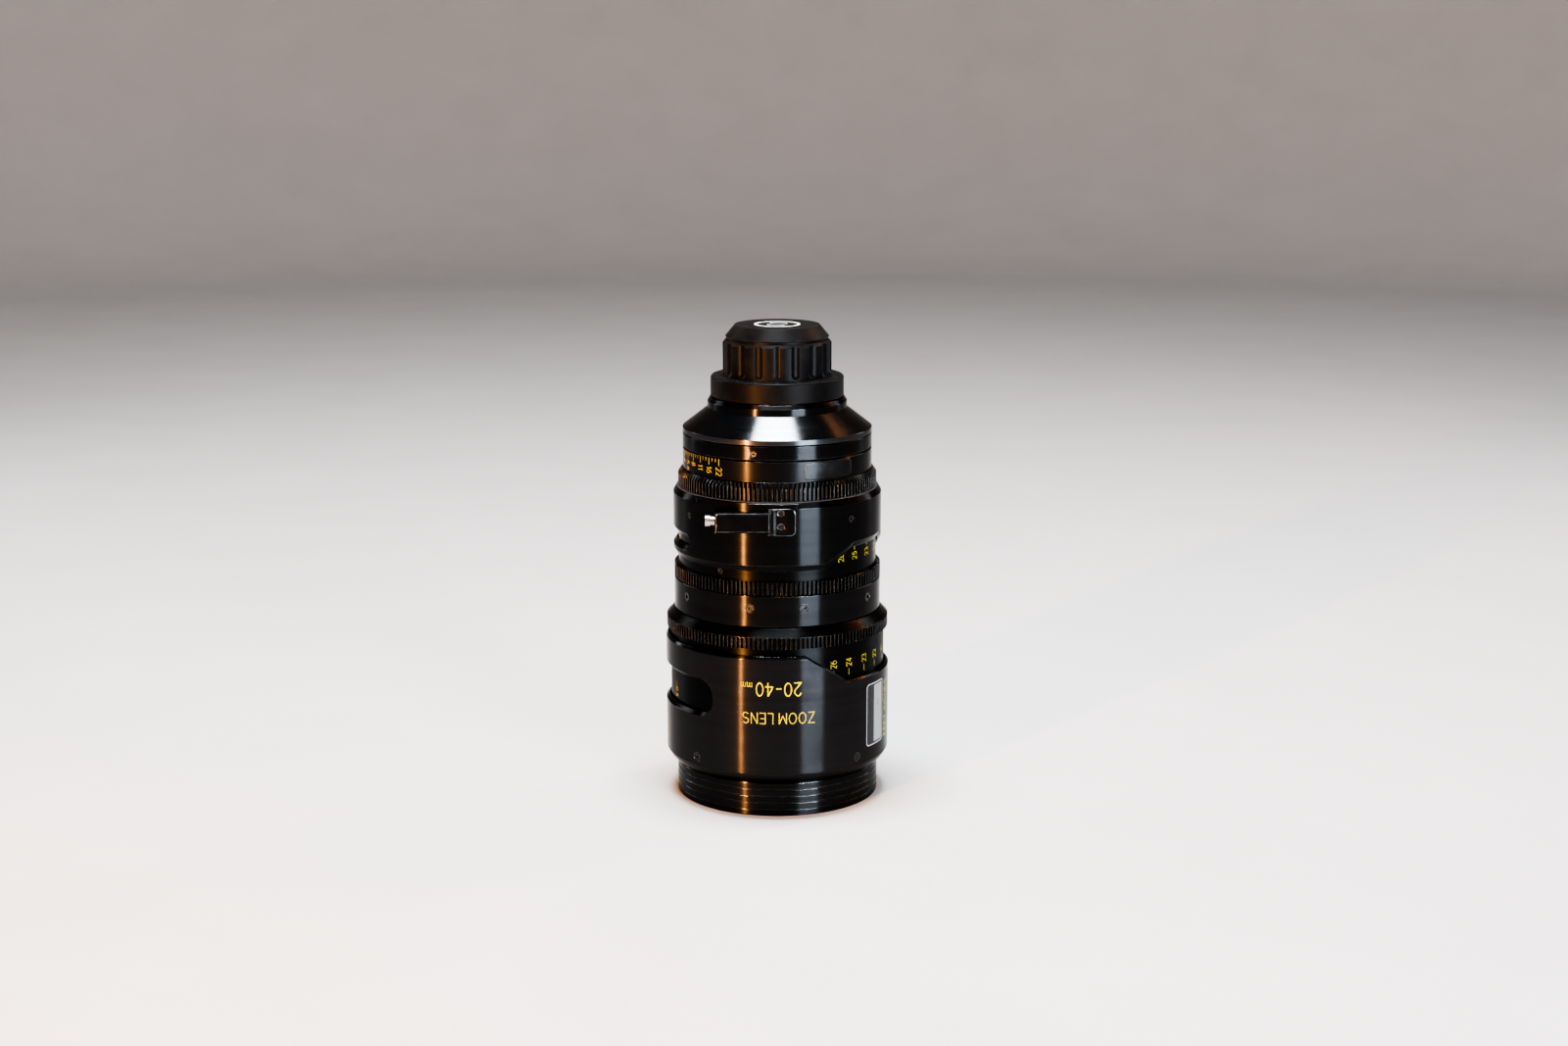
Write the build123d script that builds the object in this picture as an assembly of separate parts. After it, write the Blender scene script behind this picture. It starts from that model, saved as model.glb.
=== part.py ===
from build123d import *
import math
import os

os.makedirs("parts", exist_ok=True)

# A zoom lens for cinema cameras, standing on its front rim.
# Millimetres. +Z runs from the front rim up to the rear cap, and the origin is the centre of the rim.
# Azimuth is in degrees about Z: 0 is -Y, the top of the lens in use, and it grows towards +X.

# Clearances
turning_fit = 0.05
fixed_fit = 0.02
ring_seam = 0.4
hidden_gap = 1.0
label_fit = 0.1
small_gap = 0.3
edge_break = 0.4
overcut = 1.0

# Follow-focus gears: 0.8 module, tip and root as shares of one tooth pitch
gear_module = 0.8
gear_tip_share = 0.14
gear_root_share = 0.36
gear_tip_height = 1.0
gear_root_depth = 1.25
gear_body_step = 0.1
gear_body_lap = 0.5

# Guide barrel and zoom cam tube: the innermost turned pair, from which the other radii are built up
guide_bore_radius = 42.5
guide_wall = 3.5
cam_tube_wall = 3.45
cam_tube_start = 1.5

# Front ring, the part that a hood or a matte box clamps on
front_ring_wall = 4.6
front_height = 19.0
front_rim_width = 3.5
front_bore_depth = 7.0
front_lip_width = 2.0
front_lip_height = 1.5
front_spigot_step = 2.0
front_spigot_height = 7.5
groove_count = 5
groove_first = 3.4
groove_pitch = 3.8
groove_width = 0.5
groove_depth = 0.3

# Front lens group
front_cell_step = 3.4
front_cell_wall = 4.4
front_cell_length = 32.0
front_glass_inset = 6.1
front_glass_edge = 12.0
front_glass_bulge = 6.8
front_glass_hollow = -11.0
front_retainer_width = 3.0
front_retainer_steps = 3
second_glass_step = 6.0
second_glass_edge = 7.0
second_glass_bulges = (-3.0, 1.5)
second_lip = 2.5
second_retainer_height = 2.4
glass_rim = 3.0

# Main barrel: carries the cover, the focus ring and the centre band
focus_bore_step = 3.0
main_wall = 3.0
main_flange_height = 11.6
main_bore_lap = 3.6
main_floor_height = 6.5

# Cover shell round the focus scale drum
focus_drum_gap = 2.25
focus_drum_wall = 3.0
focus_drum_length = 38.6
drum_spigot_wall = 1.7
drum_spigot_height = 3.5
cover_gap = 0.7
cover_wall = 2.0
cover_height = 73.0
cover_floor = 5.0
cover_lip_step = 0.3
cover_round = 6.6
cover_round_side = 0.62
cover_round_rise = 0.45
cover_bevel_width = 0.9
cover_bevel_height = 1.6
cover_screw_height = 11.1
cover_screw_count = 4
cover_screw_turn = 45.0

# Openings of the cover, on the two reading sides of the lens
window_azimuth = -90.0
window_half_turn = 57.0
window_height = 46.1
window_half_height = 9.0
window_bevel = 2.0
notch_azimuth = 90.0
notch_half_turn = 75.7
notch_floor_half_turn = 51.4
notch_depth = 16.8
notch_bevel = 1.0

# Label plate let into the cover
label_azimuth = 61.0
label_width = 19.6
label_height = 36.0
label_bottom = 14.6
label_corner = 2.5
label_thickness = 0.3
label_recess = 0.35

# Focus ring
focus_gear_rise = 1.3
focus_recess_height = 4.1
focus_gear_height = 6.3
focus_cone_height = 4.5
focus_cone_slant = 3.8
focus_rim_step = 1.7
focus_limits = (-15.0, 275.0)
focus_travel = 12.0

# Focus cam and the group that it moves
focus_cam_wall = 3.0
focus_cam_length = 43.9
focus_cell_length = 20.0
focus_cell_start = 22.0
focus_cell_wall = 5.0
focus_cell_lip = 2.0
focus_spacer_bite = 1.0
focus_glass_edge = 6.5
focus_glass_space = 3.0
focus_front_bulges = (-4.0, -0.5)
focus_rear_bulges = (0.8, 2.5)
focus_pin_radius = 1.25
focus_pin_depth = 3.5
follower_inset = 0.3
focus_pin_azimuths = (60.0, 180.0, 300.0)

# Centre band
centre_band_space = 7.5
centre_band_wall = 3.0
centre_band_height = 17.4
centre_screw_azimuths = (-15.0, 15.0, -60.0, 60.0, -120.0, 120.0, -165.0, 165.0)
centre_screw_height = 10.4
centre_screw_length = 2.8

# Zoom ring
zoom_gear_rise = 1.7
zoom_gear_height = 7.2
zoom_drum_space = 6.0
zoom_drum_wall = 3.0
zoom_drum_height = 24.3
zoom_web_height = 9.5
zoom_screw_azimuth = -34.0
zoom_screw_count = 3
zoom_screw_height = 4.0
zoom_screw_length = 2.6
zoom_limits = (-12.0, 100.0)

# Moving zoom groups
variator_travel = 16.0
variator_start = 10.0
variator_length = 15.0
variator_cell_wall = 8.5
variator_glass_edge = 7.0
variator_bulges = (-2.4, -2.0)
variator_pin_azimuths = (30.0, 150.0, 270.0)
compensator_travel = -5.0
compensator_start = 49.0
compensator_length = 11.0
compensator_cell_wall = 9.5
compensator_glass_edge = 5.0
compensator_bulges = (1.6, 1.6)
compensator_pin_azimuths = (90.0, 210.0, 330.0)
zoom_pin_radius = 1.75
zoom_cell_lip = 1.6
zoom_pin_seat = 2.0

# Support band round the zoom scale
support_gap = 0.8
support_wall = 2.0
support_height = 38.0
support_overlap = 18.5
support_chamfer = 3.5
support_top_bevel = 0.8
support_screw_length = 1.0
relief_width = 1.75
relief_height = 3.1
relief_tool_radius = 4.2
right_relief = (90.0, 79.5)
left_relief = (-90.0, 41.0)
support_screw_azimuths = (-56.0, 44.0, 124.0, -136.0)
support_screw_drop = 11.6
scale_gap_azimuth = 64.0
scale_gap_half_turn = 37.0
scale_gap_floor_half_turn = 17.5
scale_gap_rise = 10.0
scale_slot_azimuth = -90.0
scale_slot_half_turn = 35.0
scale_slot_height = 10.8
scale_slot_half_height = 2.2
scale_slot_bevel = 2.8

# Data connector on the support band
connector_left = -33.5
connector_right = -3.5
connector_step = -0.7
connector_foot_right = 10.1
connector_face = 2.7
connector_step_face = 1.5
connector_foot_face = 0.9
connector_height = 10.8
connector_drop = 4.9
foot_height = 14.8
foot_drop = 2.7
connector_edge = 0.7
foot_corner = 3.0
socket_radius = 3.2
socket_neck_radius = 2.6
socket_bore_radius = 2.4
socket_length = 5.3
socket_collar = 2.8
socket_depth = 2.6
socket_seat = 3.0
socket_inset = 7.2
contact_well_radius = 2.0
contact_well_depth = 2.9
contact_count = 4
contact_radius = 0.3
contact_circle = 1.1
contact_length = 1.6
foot_screw_offset = 2.2
foot_screw_spacing = 7.5
foot_screw_drop = 2.4
foot_screw_length = 3.0

# Rear housing and iris ring
rear_bore_step = 1.0
rear_sleeve_wall = 4.0
rear_seat_height = 5.0
iris_gear_rise = 2.0
iris_gear_height = 7.0
iris_chamfer_height = 3.0
iris_chamfer_step = 0.7
iris_scale_wall = 3.75
iris_scale_height = 11.4
iris_limits = (-55.0, 0.0)
iris_pin_azimuths = (20.0, 140.0, 260.0)
iris_pin_radius = 1.0
iris_pin_seat = 4.0
iris_pin_reach = 1.9
iris_slot_clearance = 0.15
iris_plate_azimuth = 33.0
iris_plate_width = 30.0
iris_plate_height = 9.2
iris_plate_corner = 1.6
iris_plate_thickness = 0.25
iris_plate_recess = 0.3

# Iris: blades that turn on pivots in a fixed plate, driven by slots in a turning ring
blade_count = 7
blade_pivot_step = 13.0
blade_pivot_rim = 2.5
blade_width = 8.0
blade_arc = 110.0
blade_thickness = 0.25
blade_pitch = 0.45
blade_close_angle = 34.0
blade_drive_turn = 12.0
blade_ear_half_width = 2.2
blade_pin_radius = 0.8
blade_slot_clearance = 0.08
iris_plate_gap = 0.3
iris_base_gap = 0.2
iris_base_drop = 4.6
iris_base_height = 2.5
iris_base_step = 1.0
drive_ring_rim = 2.5
drive_ring_height = 2.4

# Rear barrel, cone and mount ring
rear_barrel_height = 8.0
rear_screw_azimuth = -14.0
rear_screw_count = 3
rear_screw_height = 3.7
cone_base_height = 3.0
cone_height = 10.8
cone_wall = 2.6
cone_seat_height = 2.5
mount_ring_step = 4.35
mount_ring_height = 5.9
mount_ring_bevel_width = 1.4
mount_ring_bevel_height = 2.2
mount_spigot_step = 3.35
mount_spigot_height = 3.1

# Lens mount: a 54 mm tube behind a flange with four lobes
mount_tube_radius = 27.0
mount_tube_wall = 2.5
mount_tube_length = 21.5
mount_tube_root = 9.5
mount_tube_shoulder = 0.6
mount_neck_wall = 4.0
mount_neck_height = 2.8
mount_flange_height = 3.5
mount_disc_step = 0.6
mount_lobe_step = 2.9
mount_lobe_count = 4
mount_lobe_half_turn = 29.0
mount_pin_slot_width = 3.1
mount_pin_slot_depth = 2.4
mount_shim_height = 0.2
mount_screw_inset = 2.4
mount_screw_length = 8.0

# Relay lens group in the mount tube
relay_flange_height = 4.0
relay_flange_start = 2.3
relay_cell_wall = 2.58
relay_cone_step = 2.0
relay_step = 2.0
relay_glass_edge = 9.0
relay_bulges = (2.2, -1.0)
relay_cone_height = 8.8
rear_glass_edge = 7.0
rear_glass_bulges = (1.2, 1.8)
rear_cell_inset = 4.5
rear_retainer_height = 3.0
rear_retainer_width = 3.4
rear_retainer_slopes = (1.2, 1.0)
rear_retainer_throat_height = 1.95

# Rear cap
cap_gap = 0.4
cap_skirt_wall = 1.85
cap_skirt_height = 11.4
cap_skirt_round = 1.4
cap_skirt_gap = 0.7
cap_shoulder_gap = 1.2
cap_bore_gap = 1.0
cap_grip_wall = 2.2
cap_grip_height = 18.2
cap_land_chamfer_height = 1.7
cap_neck_step = 2.0
cap_neck_height = 1.4
cap_top_step = 1.4
cap_top_height = 6.7
cap_top_slant = 5.2
cap_roof = 9.4
flute_count = 18
flute_radius = 4.4
flute_depth = 1.0
flute_start = 3.6
cap_tab_half_turn = 11.0
cap_tab_height = 1.8
cap_tab_reach = 3.1
cap_tab_root = 0.5
cap_tab_start = 0.3

# Screws: head radius, head height, hexagon socket radius and shank radius
cap_head = (2.3, 1.6, 1.3, 1.4)
flat_head = (2.3, 1.1, 0.9, 1.4)
small_head = (1.5, 1.2, 0.8, 0.9)
grub_head = (1.5, 3.6, 0.85, 1.0)
head_clearance = 0.15
head_sink = 0.15
socket_share = 0.6
shank_clearance = 0.075
tip_clearance = 0.2
screw_length = 5.0

# Radii that follow from the sizes above
guide_radius = guide_bore_radius + guide_wall
cam_tube_inner = guide_radius + turning_fit
cam_tube_radius = cam_tube_inner + cam_tube_wall
carrier_inner = cam_tube_radius + hidden_gap
focus_bore_radius = guide_radius + focus_bore_step
main_radius = focus_bore_radius + main_wall
focus_cam_inner = main_radius + turning_fit
focus_cam_outer = focus_cam_inner + focus_cam_wall
drum_inner = focus_cam_outer + focus_drum_gap
drum_spigot_radius = drum_inner + drum_spigot_wall
focus_drum_radius = drum_inner + focus_drum_wall
cover_inner = focus_drum_radius + cover_gap
cover_radius = cover_inner + cover_wall
front_cell_radius = focus_bore_radius + front_cell_step
front_radius = front_cell_radius + front_ring_wall
front_bore_radius = front_radius - front_rim_width
front_lip_radius = front_bore_radius - front_lip_width
front_spigot_radius = front_radius - front_spigot_step
front_glass_radius = front_cell_radius - front_cell_wall
retainer_aperture = front_glass_radius - front_retainer_width
second_glass_radius = front_glass_radius - second_glass_step
focus_glass_radius = focus_bore_radius - focus_cell_wall
variator_glass_radius = guide_bore_radius - variator_cell_wall
compensator_glass_radius = guide_bore_radius - compensator_cell_wall
zoom_drum_radius = cam_tube_radius + zoom_drum_space
centre_band_radius = carrier_inner + centre_band_space
centre_seat_radius = centre_band_radius - centre_band_wall - fixed_fit
support_inner = zoom_drum_radius + support_gap
support_radius = support_inner + support_wall
support_seat_radius = support_inner - fixed_fit
rear_bore_radius = guide_radius - rear_bore_step
rear_sleeve_radius = rear_bore_radius + rear_sleeve_wall
iris_bore_radius = rear_sleeve_radius + turning_fit
iris_scale_radius = iris_bore_radius + iris_scale_wall
iris_chamfer_radius = iris_scale_radius + iris_chamfer_step
blade_pivot_radius = rear_bore_radius - blade_pivot_step
blade_outer_radius = blade_pivot_radius - blade_pivot_rim
blade_inner_radius = blade_outer_radius - blade_width
iris_base_aperture = blade_inner_radius + iris_base_step
drive_ring_aperture = blade_pivot_radius - drive_ring_rim
mount_tube_bore = mount_tube_radius - mount_tube_wall
mount_bore_radius = mount_tube_radius - mount_tube_shoulder
mount_neck_radius = mount_tube_radius + mount_neck_wall
mount_disc_radius = mount_neck_radius + mount_disc_step
mount_lobe_radius = mount_disc_radius + mount_lobe_step
mount_screw_circle = mount_tube_radius + mount_screw_inset
mount_ring_radius = mount_lobe_radius + mount_ring_step
mount_spigot_radius = mount_ring_radius - mount_spigot_step
relay_cell_radius = mount_tube_bore - fixed_fit
relay_glass_radius = relay_cell_radius - relay_cell_wall
rear_retainer_aperture = relay_glass_radius - rear_retainer_width
cap_skirt_bore = mount_lobe_radius + cap_skirt_gap
cap_skirt_radius = cap_skirt_bore + cap_skirt_wall
cap_tube_bore = mount_tube_radius + cap_bore_gap
cap_grip_radius = cap_tube_bore + cap_grip_wall
cap_neck_radius = cap_grip_radius - cap_neck_step
cap_top_radius = cap_grip_radius - cap_top_step
cap_flat_radius = cap_top_radius - cap_top_slant

# Whole tooth counts nearest to the wanted height of each gear over its drum
focus_gear_teeth = round(2 * (focus_drum_radius + focus_gear_rise) / gear_module)
zoom_gear_teeth = round(2 * (zoom_drum_radius + zoom_gear_rise) / gear_module)
iris_gear_teeth = round(2 * (iris_scale_radius + iris_gear_rise) / gear_module)
focus_rim_radius = gear_module * (focus_gear_teeth / 2 - gear_root_depth) + focus_rim_step
focus_cone_top_radius = focus_rim_radius - focus_cone_slant

# Heights that follow, from the front rim up
front_lip_top = front_bore_depth + front_lip_height
front_cell_bottom = front_lip_top
front_cell_top = front_cell_bottom + front_cell_length
front_glass_bottom = front_cell_bottom + front_glass_inset
front_glass_top = front_glass_bottom + front_glass_edge
second_glass_top = front_cell_top - second_lip
second_glass_bottom = second_glass_top - second_glass_edge
cover_bottom = front_height + ring_seam
cover_top = cover_bottom + cover_height
main_bottom = cover_bottom + cover_floor
main_flange_top = main_bottom + main_flange_height
front_spigot_top = main_bottom + front_spigot_height - cover_floor
focus_gear_bottom = cover_top + focus_recess_height
focus_gear_top = focus_gear_bottom + focus_gear_height
focus_ring_top = focus_gear_top + focus_cone_height
focus_web_bottom = focus_gear_bottom + drum_spigot_height
centre_bottom = focus_ring_top + ring_seam
centre_top = centre_bottom + centre_band_height
focus_bore_top = centre_bottom - main_bore_lap
guide_bottom = focus_bore_top
main_floor_top = focus_bore_top + main_floor_height
cam_tube_bottom = main_floor_top + cam_tube_start
zoom_bottom = centre_top + ring_seam
zoom_gear_top = zoom_bottom + zoom_gear_height
zoom_top = zoom_gear_top + zoom_drum_height
support_bottom = zoom_top - support_overlap
support_top = support_bottom + support_height
rear_housing_bottom = zoom_top + hidden_gap
iris_bottom = support_top + ring_seam
iris_base_bottom = iris_bottom - iris_base_drop
guide_top = iris_base_bottom - iris_base_gap
rear_flange_bottom = guide_top - rear_seat_height
cam_tube_top = rear_flange_bottom - hidden_gap
iris_gear_top = iris_bottom + iris_gear_height
iris_scale_bottom = iris_gear_top + iris_chamfer_height
iris_top = iris_scale_bottom + iris_scale_height
rear_barrel_bottom = iris_top + ring_seam
rear_barrel_top = rear_barrel_bottom + rear_barrel_height
cone_seat_top = rear_barrel_top + cone_seat_height
cone_top = rear_barrel_top + cone_base_height + cone_height
mount_ring_top = cone_top + mount_ring_height
flange_bottom = mount_ring_top + mount_shim_height
lobe_bottom = flange_bottom + mount_neck_height
flange_top = lobe_bottom + mount_flange_height
tube_top = flange_top + mount_tube_length
cap_bottom = mount_ring_top + cap_gap
cap_skirt_top = cap_bottom + cap_skirt_height
cap_grip_top = cap_skirt_top + cap_grip_height
cap_land_top = cap_grip_top + cap_land_chamfer_height
cap_disc_bottom = cap_land_top + cap_neck_height
cap_top = cap_disc_bottom + cap_top_height

# Iris stack, from the fixed plate up
iris_base_top = iris_base_bottom + iris_base_height
blade_stack_bottom = iris_base_top + iris_plate_gap
blade_stack_top = blade_stack_bottom + (blade_count - 1) * blade_pitch + blade_thickness
drive_ring_bottom = blade_stack_top + iris_plate_gap
drive_ring_top = drive_ring_bottom + drive_ring_height
drive_ring_middle = (drive_ring_bottom + drive_ring_top) / 2
relay_flange_bottom = drive_ring_top + relay_flange_start
relay_flange_top = relay_flange_bottom + relay_flange_height
rear_cell_top = tube_top - rear_cell_inset
rear_glass_top = rear_cell_top - rear_retainer_height
rear_glass_bottom = rear_glass_top - rear_glass_edge

# Travel of the moving groups for one degree of their ring
focus_rate = focus_travel / (focus_limits[1] - focus_limits[0])
variator_rate = variator_travel / (zoom_limits[1] - zoom_limits[0])
compensator_rate = compensator_travel / (zoom_limits[1] - zoom_limits[0])
blade_rate = blade_close_angle / (iris_limits[1] - iris_limits[0])
slot_overrun = 1.5

focus_cell_bottom = main_flange_top + focus_cell_start
focus_pin_z = focus_cell_bottom + focus_cell_length / 2
variator_pin_z = guide_bottom + variator_start + variator_length / 2
compensator_pin_z = guide_bottom + compensator_start + compensator_length / 2


def radial_plane(azimuth, radius, height):
    """Plane that faces outwards at this azimuth: X along the ring, Y up, Z outwards."""
    turn = math.radians(azimuth)
    centre = (*flat_point(radius, azimuth), height)
    along = (math.cos(turn), math.sin(turn), 0)
    return Plane(origin=centre, x_dir=along, z_dir=(*flat_point(1, azimuth), 0))


def flat_point(radius, azimuth):
    """Point in the plan at a radius and an azimuth."""
    turn = math.radians(azimuth)
    return (radius * math.sin(turn), -radius * math.cos(turn))


def turned(*corners):
    """Solid of revolution about Z from (radius, height) corners."""
    outline = Polyline(*[(r, 0, z) for r, z in corners], close=True)
    return revolve(make_face(outline), Axis.Z)


def tube(inner, outer, bottom, top):
    """Plain ring between two radii and two heights."""
    return turned((inner, bottom), (outer, bottom), (outer, top), (inner, top))


def band(inner, outer, bottom, top):
    """Ring whose two outer edges are broken by a small chamfer."""
    return turned(
        (inner, bottom),
        (outer - edge_break, bottom),
        (outer, bottom + edge_break),
        (outer, top - edge_break),
        (outer - edge_break, top),
        (inner, top),
    )


def sector(corners, azimuth, turn):
    """The corners' profile turned about Z from one azimuth through an angle."""
    outline = Polyline(*[(r, 0, z) for r, z in corners], close=True)
    return Rot(0, 0, azimuth - 90) * revolve(make_face(outline), Axis.Z, turn)


def box_corners(inner, outer, bottom, top):
    """Corners of a rectangular profile."""
    return ((inner, bottom), (outer, bottom), (outer, top), (inner, top))


def ramp(corners, azimuth, turn, bottom, rise):
    """The corners' profile, its heights taken from the path, carried up a helix about Z."""
    radius = sum(r for r, z in corners) / len(corners)
    path = Helix(rise * 360 / abs(turn), rise, radius, lefthand=turn < 0)
    outline = Polyline(*[(r, 0, z) for r, z in corners], close=True)
    solid = sweep(make_face(outline), path=path, is_frenet=True)
    return Pos(0, 0, bottom) * Rot(0, 0, azimuth - 90) * solid


def helical_slot(azimuth, turn, bottom, rise, inner, outer, width):
    """Cutters for a slot that climbs a tube wall: its run and its two round ends."""
    radius = (inner + outer) / 2
    path = Helix(rise * 360 / abs(turn), rise, radius, lefthand=turn < 0)
    across = Plane(origin=path @ 0, x_dir=(1, 0, 0), z_dir=path % 0)
    run = sweep(across * Rectangle(outer - inner, width), path=path, is_frenet=True)
    end = Cylinder(width / 2, outer - inner)
    return [
        Pos(0, 0, bottom) * Rot(0, 0, azimuth - 90) * run,
        radial_plane(azimuth, radius, bottom) * end,
        radial_plane(azimuth + turn, radius, bottom + rise) * end,
    ]


def cam_slots(azimuths, height, rate, limits, inner, outer, width):
    """Slots in a turning tube that carry followers from one joint limit to the other."""
    low, high = limits[0] - slot_overrun, limits[1] + slot_overrun
    start, turn = (low, low - high) if rate > 0 else (high, high - low)
    cutters = []
    for azimuth in azimuths:
        bottom = height + rate * start
        rise = abs(rate) * (high - low)
        cutters += helical_slot(azimuth - start, turn, bottom, rise, inner, outer, width)
    return cutters


def straight_slots(azimuths, height, rate, limits, inner, outer, width):
    """Slots along Z in a fixed tube that keep the followers from turning."""
    ends = sorted(height + rate * angle for angle in limits)
    length = ends[1] - ends[0] + width + 2 * slot_overrun * abs(rate)
    middle = (ends[0] + ends[1]) / 2
    cutters = []
    for azimuth in azimuths:
        plane = radial_plane(azimuth, inner, middle)
        cutters.append(plane * extrude(SlotOverall(length, width, rotation=90), outer - inner))
    return cutters


def follower_pins(azimuths, height, pin_radius, inner, outer):
    """Radial pins, one for each slot, as separate solids."""
    middle = (inner + outer) / 2
    pins = [radial_plane(a, middle, height) * Cylinder(pin_radius, outer - inner) for a in azimuths]
    return Compound(children=pins)


def toothed_blank(teeth, bottom, height):
    """Disc with straight-flanked gear teeth."""
    root_radius, tip_radius = gear_radii(teeth)
    pitch = 360 / teeth
    flank = (
        (root_radius, -gear_root_share),
        (tip_radius, -gear_tip_share),
        (tip_radius, gear_tip_share),
        (root_radius, gear_root_share),
    )
    corners = []
    for tooth in range(teeth):
        for radius, share in flank:
            turn = math.radians((tooth + share) * pitch)
            corners.append((radius * math.sin(turn), -radius * math.cos(turn)))
    return Pos(0, 0, bottom) * extrude(make_face(Polyline(*corners, close=True)), height)


def gear_radii(teeth):
    """Root and tip radius of a gear."""
    return gear_module * (teeth / 2 - gear_root_depth), gear_module * (teeth / 2 + gear_tip_height)


def cap_height(radius, bulge, share):
    """Height that a spherical surface has fallen from its vertex at a share of its radius."""
    sphere = (radius ** 2 + bulge ** 2) / (2 * abs(bulge))
    fall = sphere - math.sqrt(sphere ** 2 - (radius * share) ** 2)
    return math.copysign(fall, bulge)


def lens(radius, bottom, top, low_bulge, high_bulge):
    """Glass with a flat rim between two heights; a bulge is positive where a face is convex."""
    clear = radius - glass_rim
    low_vertex = bottom - low_bulge
    high_vertex = top + high_bulge
    low_middle = (clear / 2, 0, low_vertex + cap_height(clear, low_bulge, 0.5))
    high_middle = (clear / 2, 0, high_vertex - cap_height(clear, high_bulge, 0.5))
    edges = [
        ThreePointArc((0, 0, low_vertex), low_middle, (clear, 0, bottom)),
        Polyline((clear, 0, bottom), (radius, 0, bottom), (radius, 0, top), (clear, 0, top)),
        ThreePointArc((clear, 0, top), high_middle, (0, 0, high_vertex)),
        Line((0, 0, high_vertex), (0, 0, low_vertex)),
    ]
    return revolve(make_face(edges), Axis.Z)


def screw(head, length):
    """Screw whose head's top is at the origin and whose shank runs along -Z."""
    head_radius, head_height, socket_size, shank_radius = head
    body = Pos(0, 0, -head_height / 2) * Cylinder(head_radius, head_height)
    body += Pos(0, 0, -head_height - length / 2) * Cylinder(shank_radius, length)
    socket = extrude(RegularPolygon(socket_size, 6), -head_height * socket_share)
    return body - socket


def screw_hole(head, length):
    """Clearance for a screw whose head is sunk just below the surface."""
    head_radius, head_height, socket_size, shank_radius = head
    depth = head_height + head_clearance
    hole = Pos(0, 0, (overcut - depth) / 2) * Cylinder(head_radius + head_clearance, depth + overcut)
    reach = depth + length
    hole += Pos(0, 0, -reach / 2) * Cylinder(shank_radius + shank_clearance, reach)
    return hole


def radial_screws(head, azimuths, radius, height, length=screw_length):
    """Screws set into a ring, their heads sunk a little below its surface."""
    places = [radial_plane(a, radius - head_sink, height) for a in azimuths]
    return [place * screw(head, length) for place in places]


def radial_holes(head, azimuths, radius, height, length=screw_length):
    """Holes for radial_screws, a little deeper than the screws are long."""
    places = [radial_plane(a, radius - head_sink, height) for a in azimuths]
    return [place * screw_hole(head, length + tip_clearance) for place in places]


def evenly(first, count):
    """Azimuths spread evenly round the lens."""
    return [first + 360 / count * step for step in range(count)]


def cut_all(solid, cutters):
    """The solid with every cutter taken out of it."""
    for cutter in cutters:
        solid -= cutter
    return solid


def front_ring():
    """Outer ring of the front: the lens stands on its rim."""
    solid = turned(
        (front_bore_radius + edge_break, 0),
        (front_radius - edge_break, 0),
        (front_radius, edge_break),
        (front_radius, front_height - edge_break),
        (front_radius - edge_break, front_height),
        (front_spigot_radius, front_height),
        (front_spigot_radius, front_spigot_top),
        (front_cell_radius + fixed_fit, front_spigot_top),
        (front_cell_radius + fixed_fit, front_lip_top),
        (front_lip_radius, front_lip_top),
        (front_lip_radius, front_bore_depth),
        (front_bore_radius, front_bore_depth),
        (front_bore_radius, edge_break),
    )
    for step in range(groove_count):
        bottom = groove_first + step * groove_pitch
        inner = front_radius - groove_depth
        solid -= tube(inner, front_radius + overcut, bottom, bottom + groove_width)
    return solid


def front_cell():
    """Cell of the two front glass elements."""
    step = second_glass_radius + fixed_fit
    lip = second_glass_radius - second_lip
    return turned(
        (front_glass_radius + fixed_fit, front_cell_bottom),
        (front_cell_radius, front_cell_bottom),
        (front_cell_radius, front_cell_top),
        (lip, front_cell_top),
        (lip, second_glass_top),
        (step, second_glass_top),
        (step, front_glass_top),
        (front_glass_radius + fixed_fit, front_glass_top),
    )


def front_retainer():
    """Threaded ring in front of the first glass, its throat stepped against stray light."""
    bottom = front_cell_bottom + small_gap
    top = front_glass_bottom
    treads = front_retainer_steps + 1
    rise = (top - bottom) / treads
    stair = front_retainer_width / treads
    corners = [(front_glass_radius, bottom), (front_glass_radius, top)]
    for step in range(treads):
        radius = retainer_aperture + step * stair
        corners.append((radius, top - step * rise))
        corners.append((radius, top - (step + 1) * rise))
    return turned(*corners)


def front_element():
    return lens(front_glass_radius, front_glass_bottom, front_glass_top, front_glass_bulge, front_glass_hollow)


def second_element():
    return lens(second_glass_radius, second_glass_bottom, second_glass_top, *second_glass_bulges)


def second_retainer():
    """Ring that holds the second glass against its lip."""
    bottom = second_glass_bottom - second_retainer_height
    return tube(second_glass_radius - second_lip, second_glass_radius, bottom, second_glass_bottom)


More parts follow.
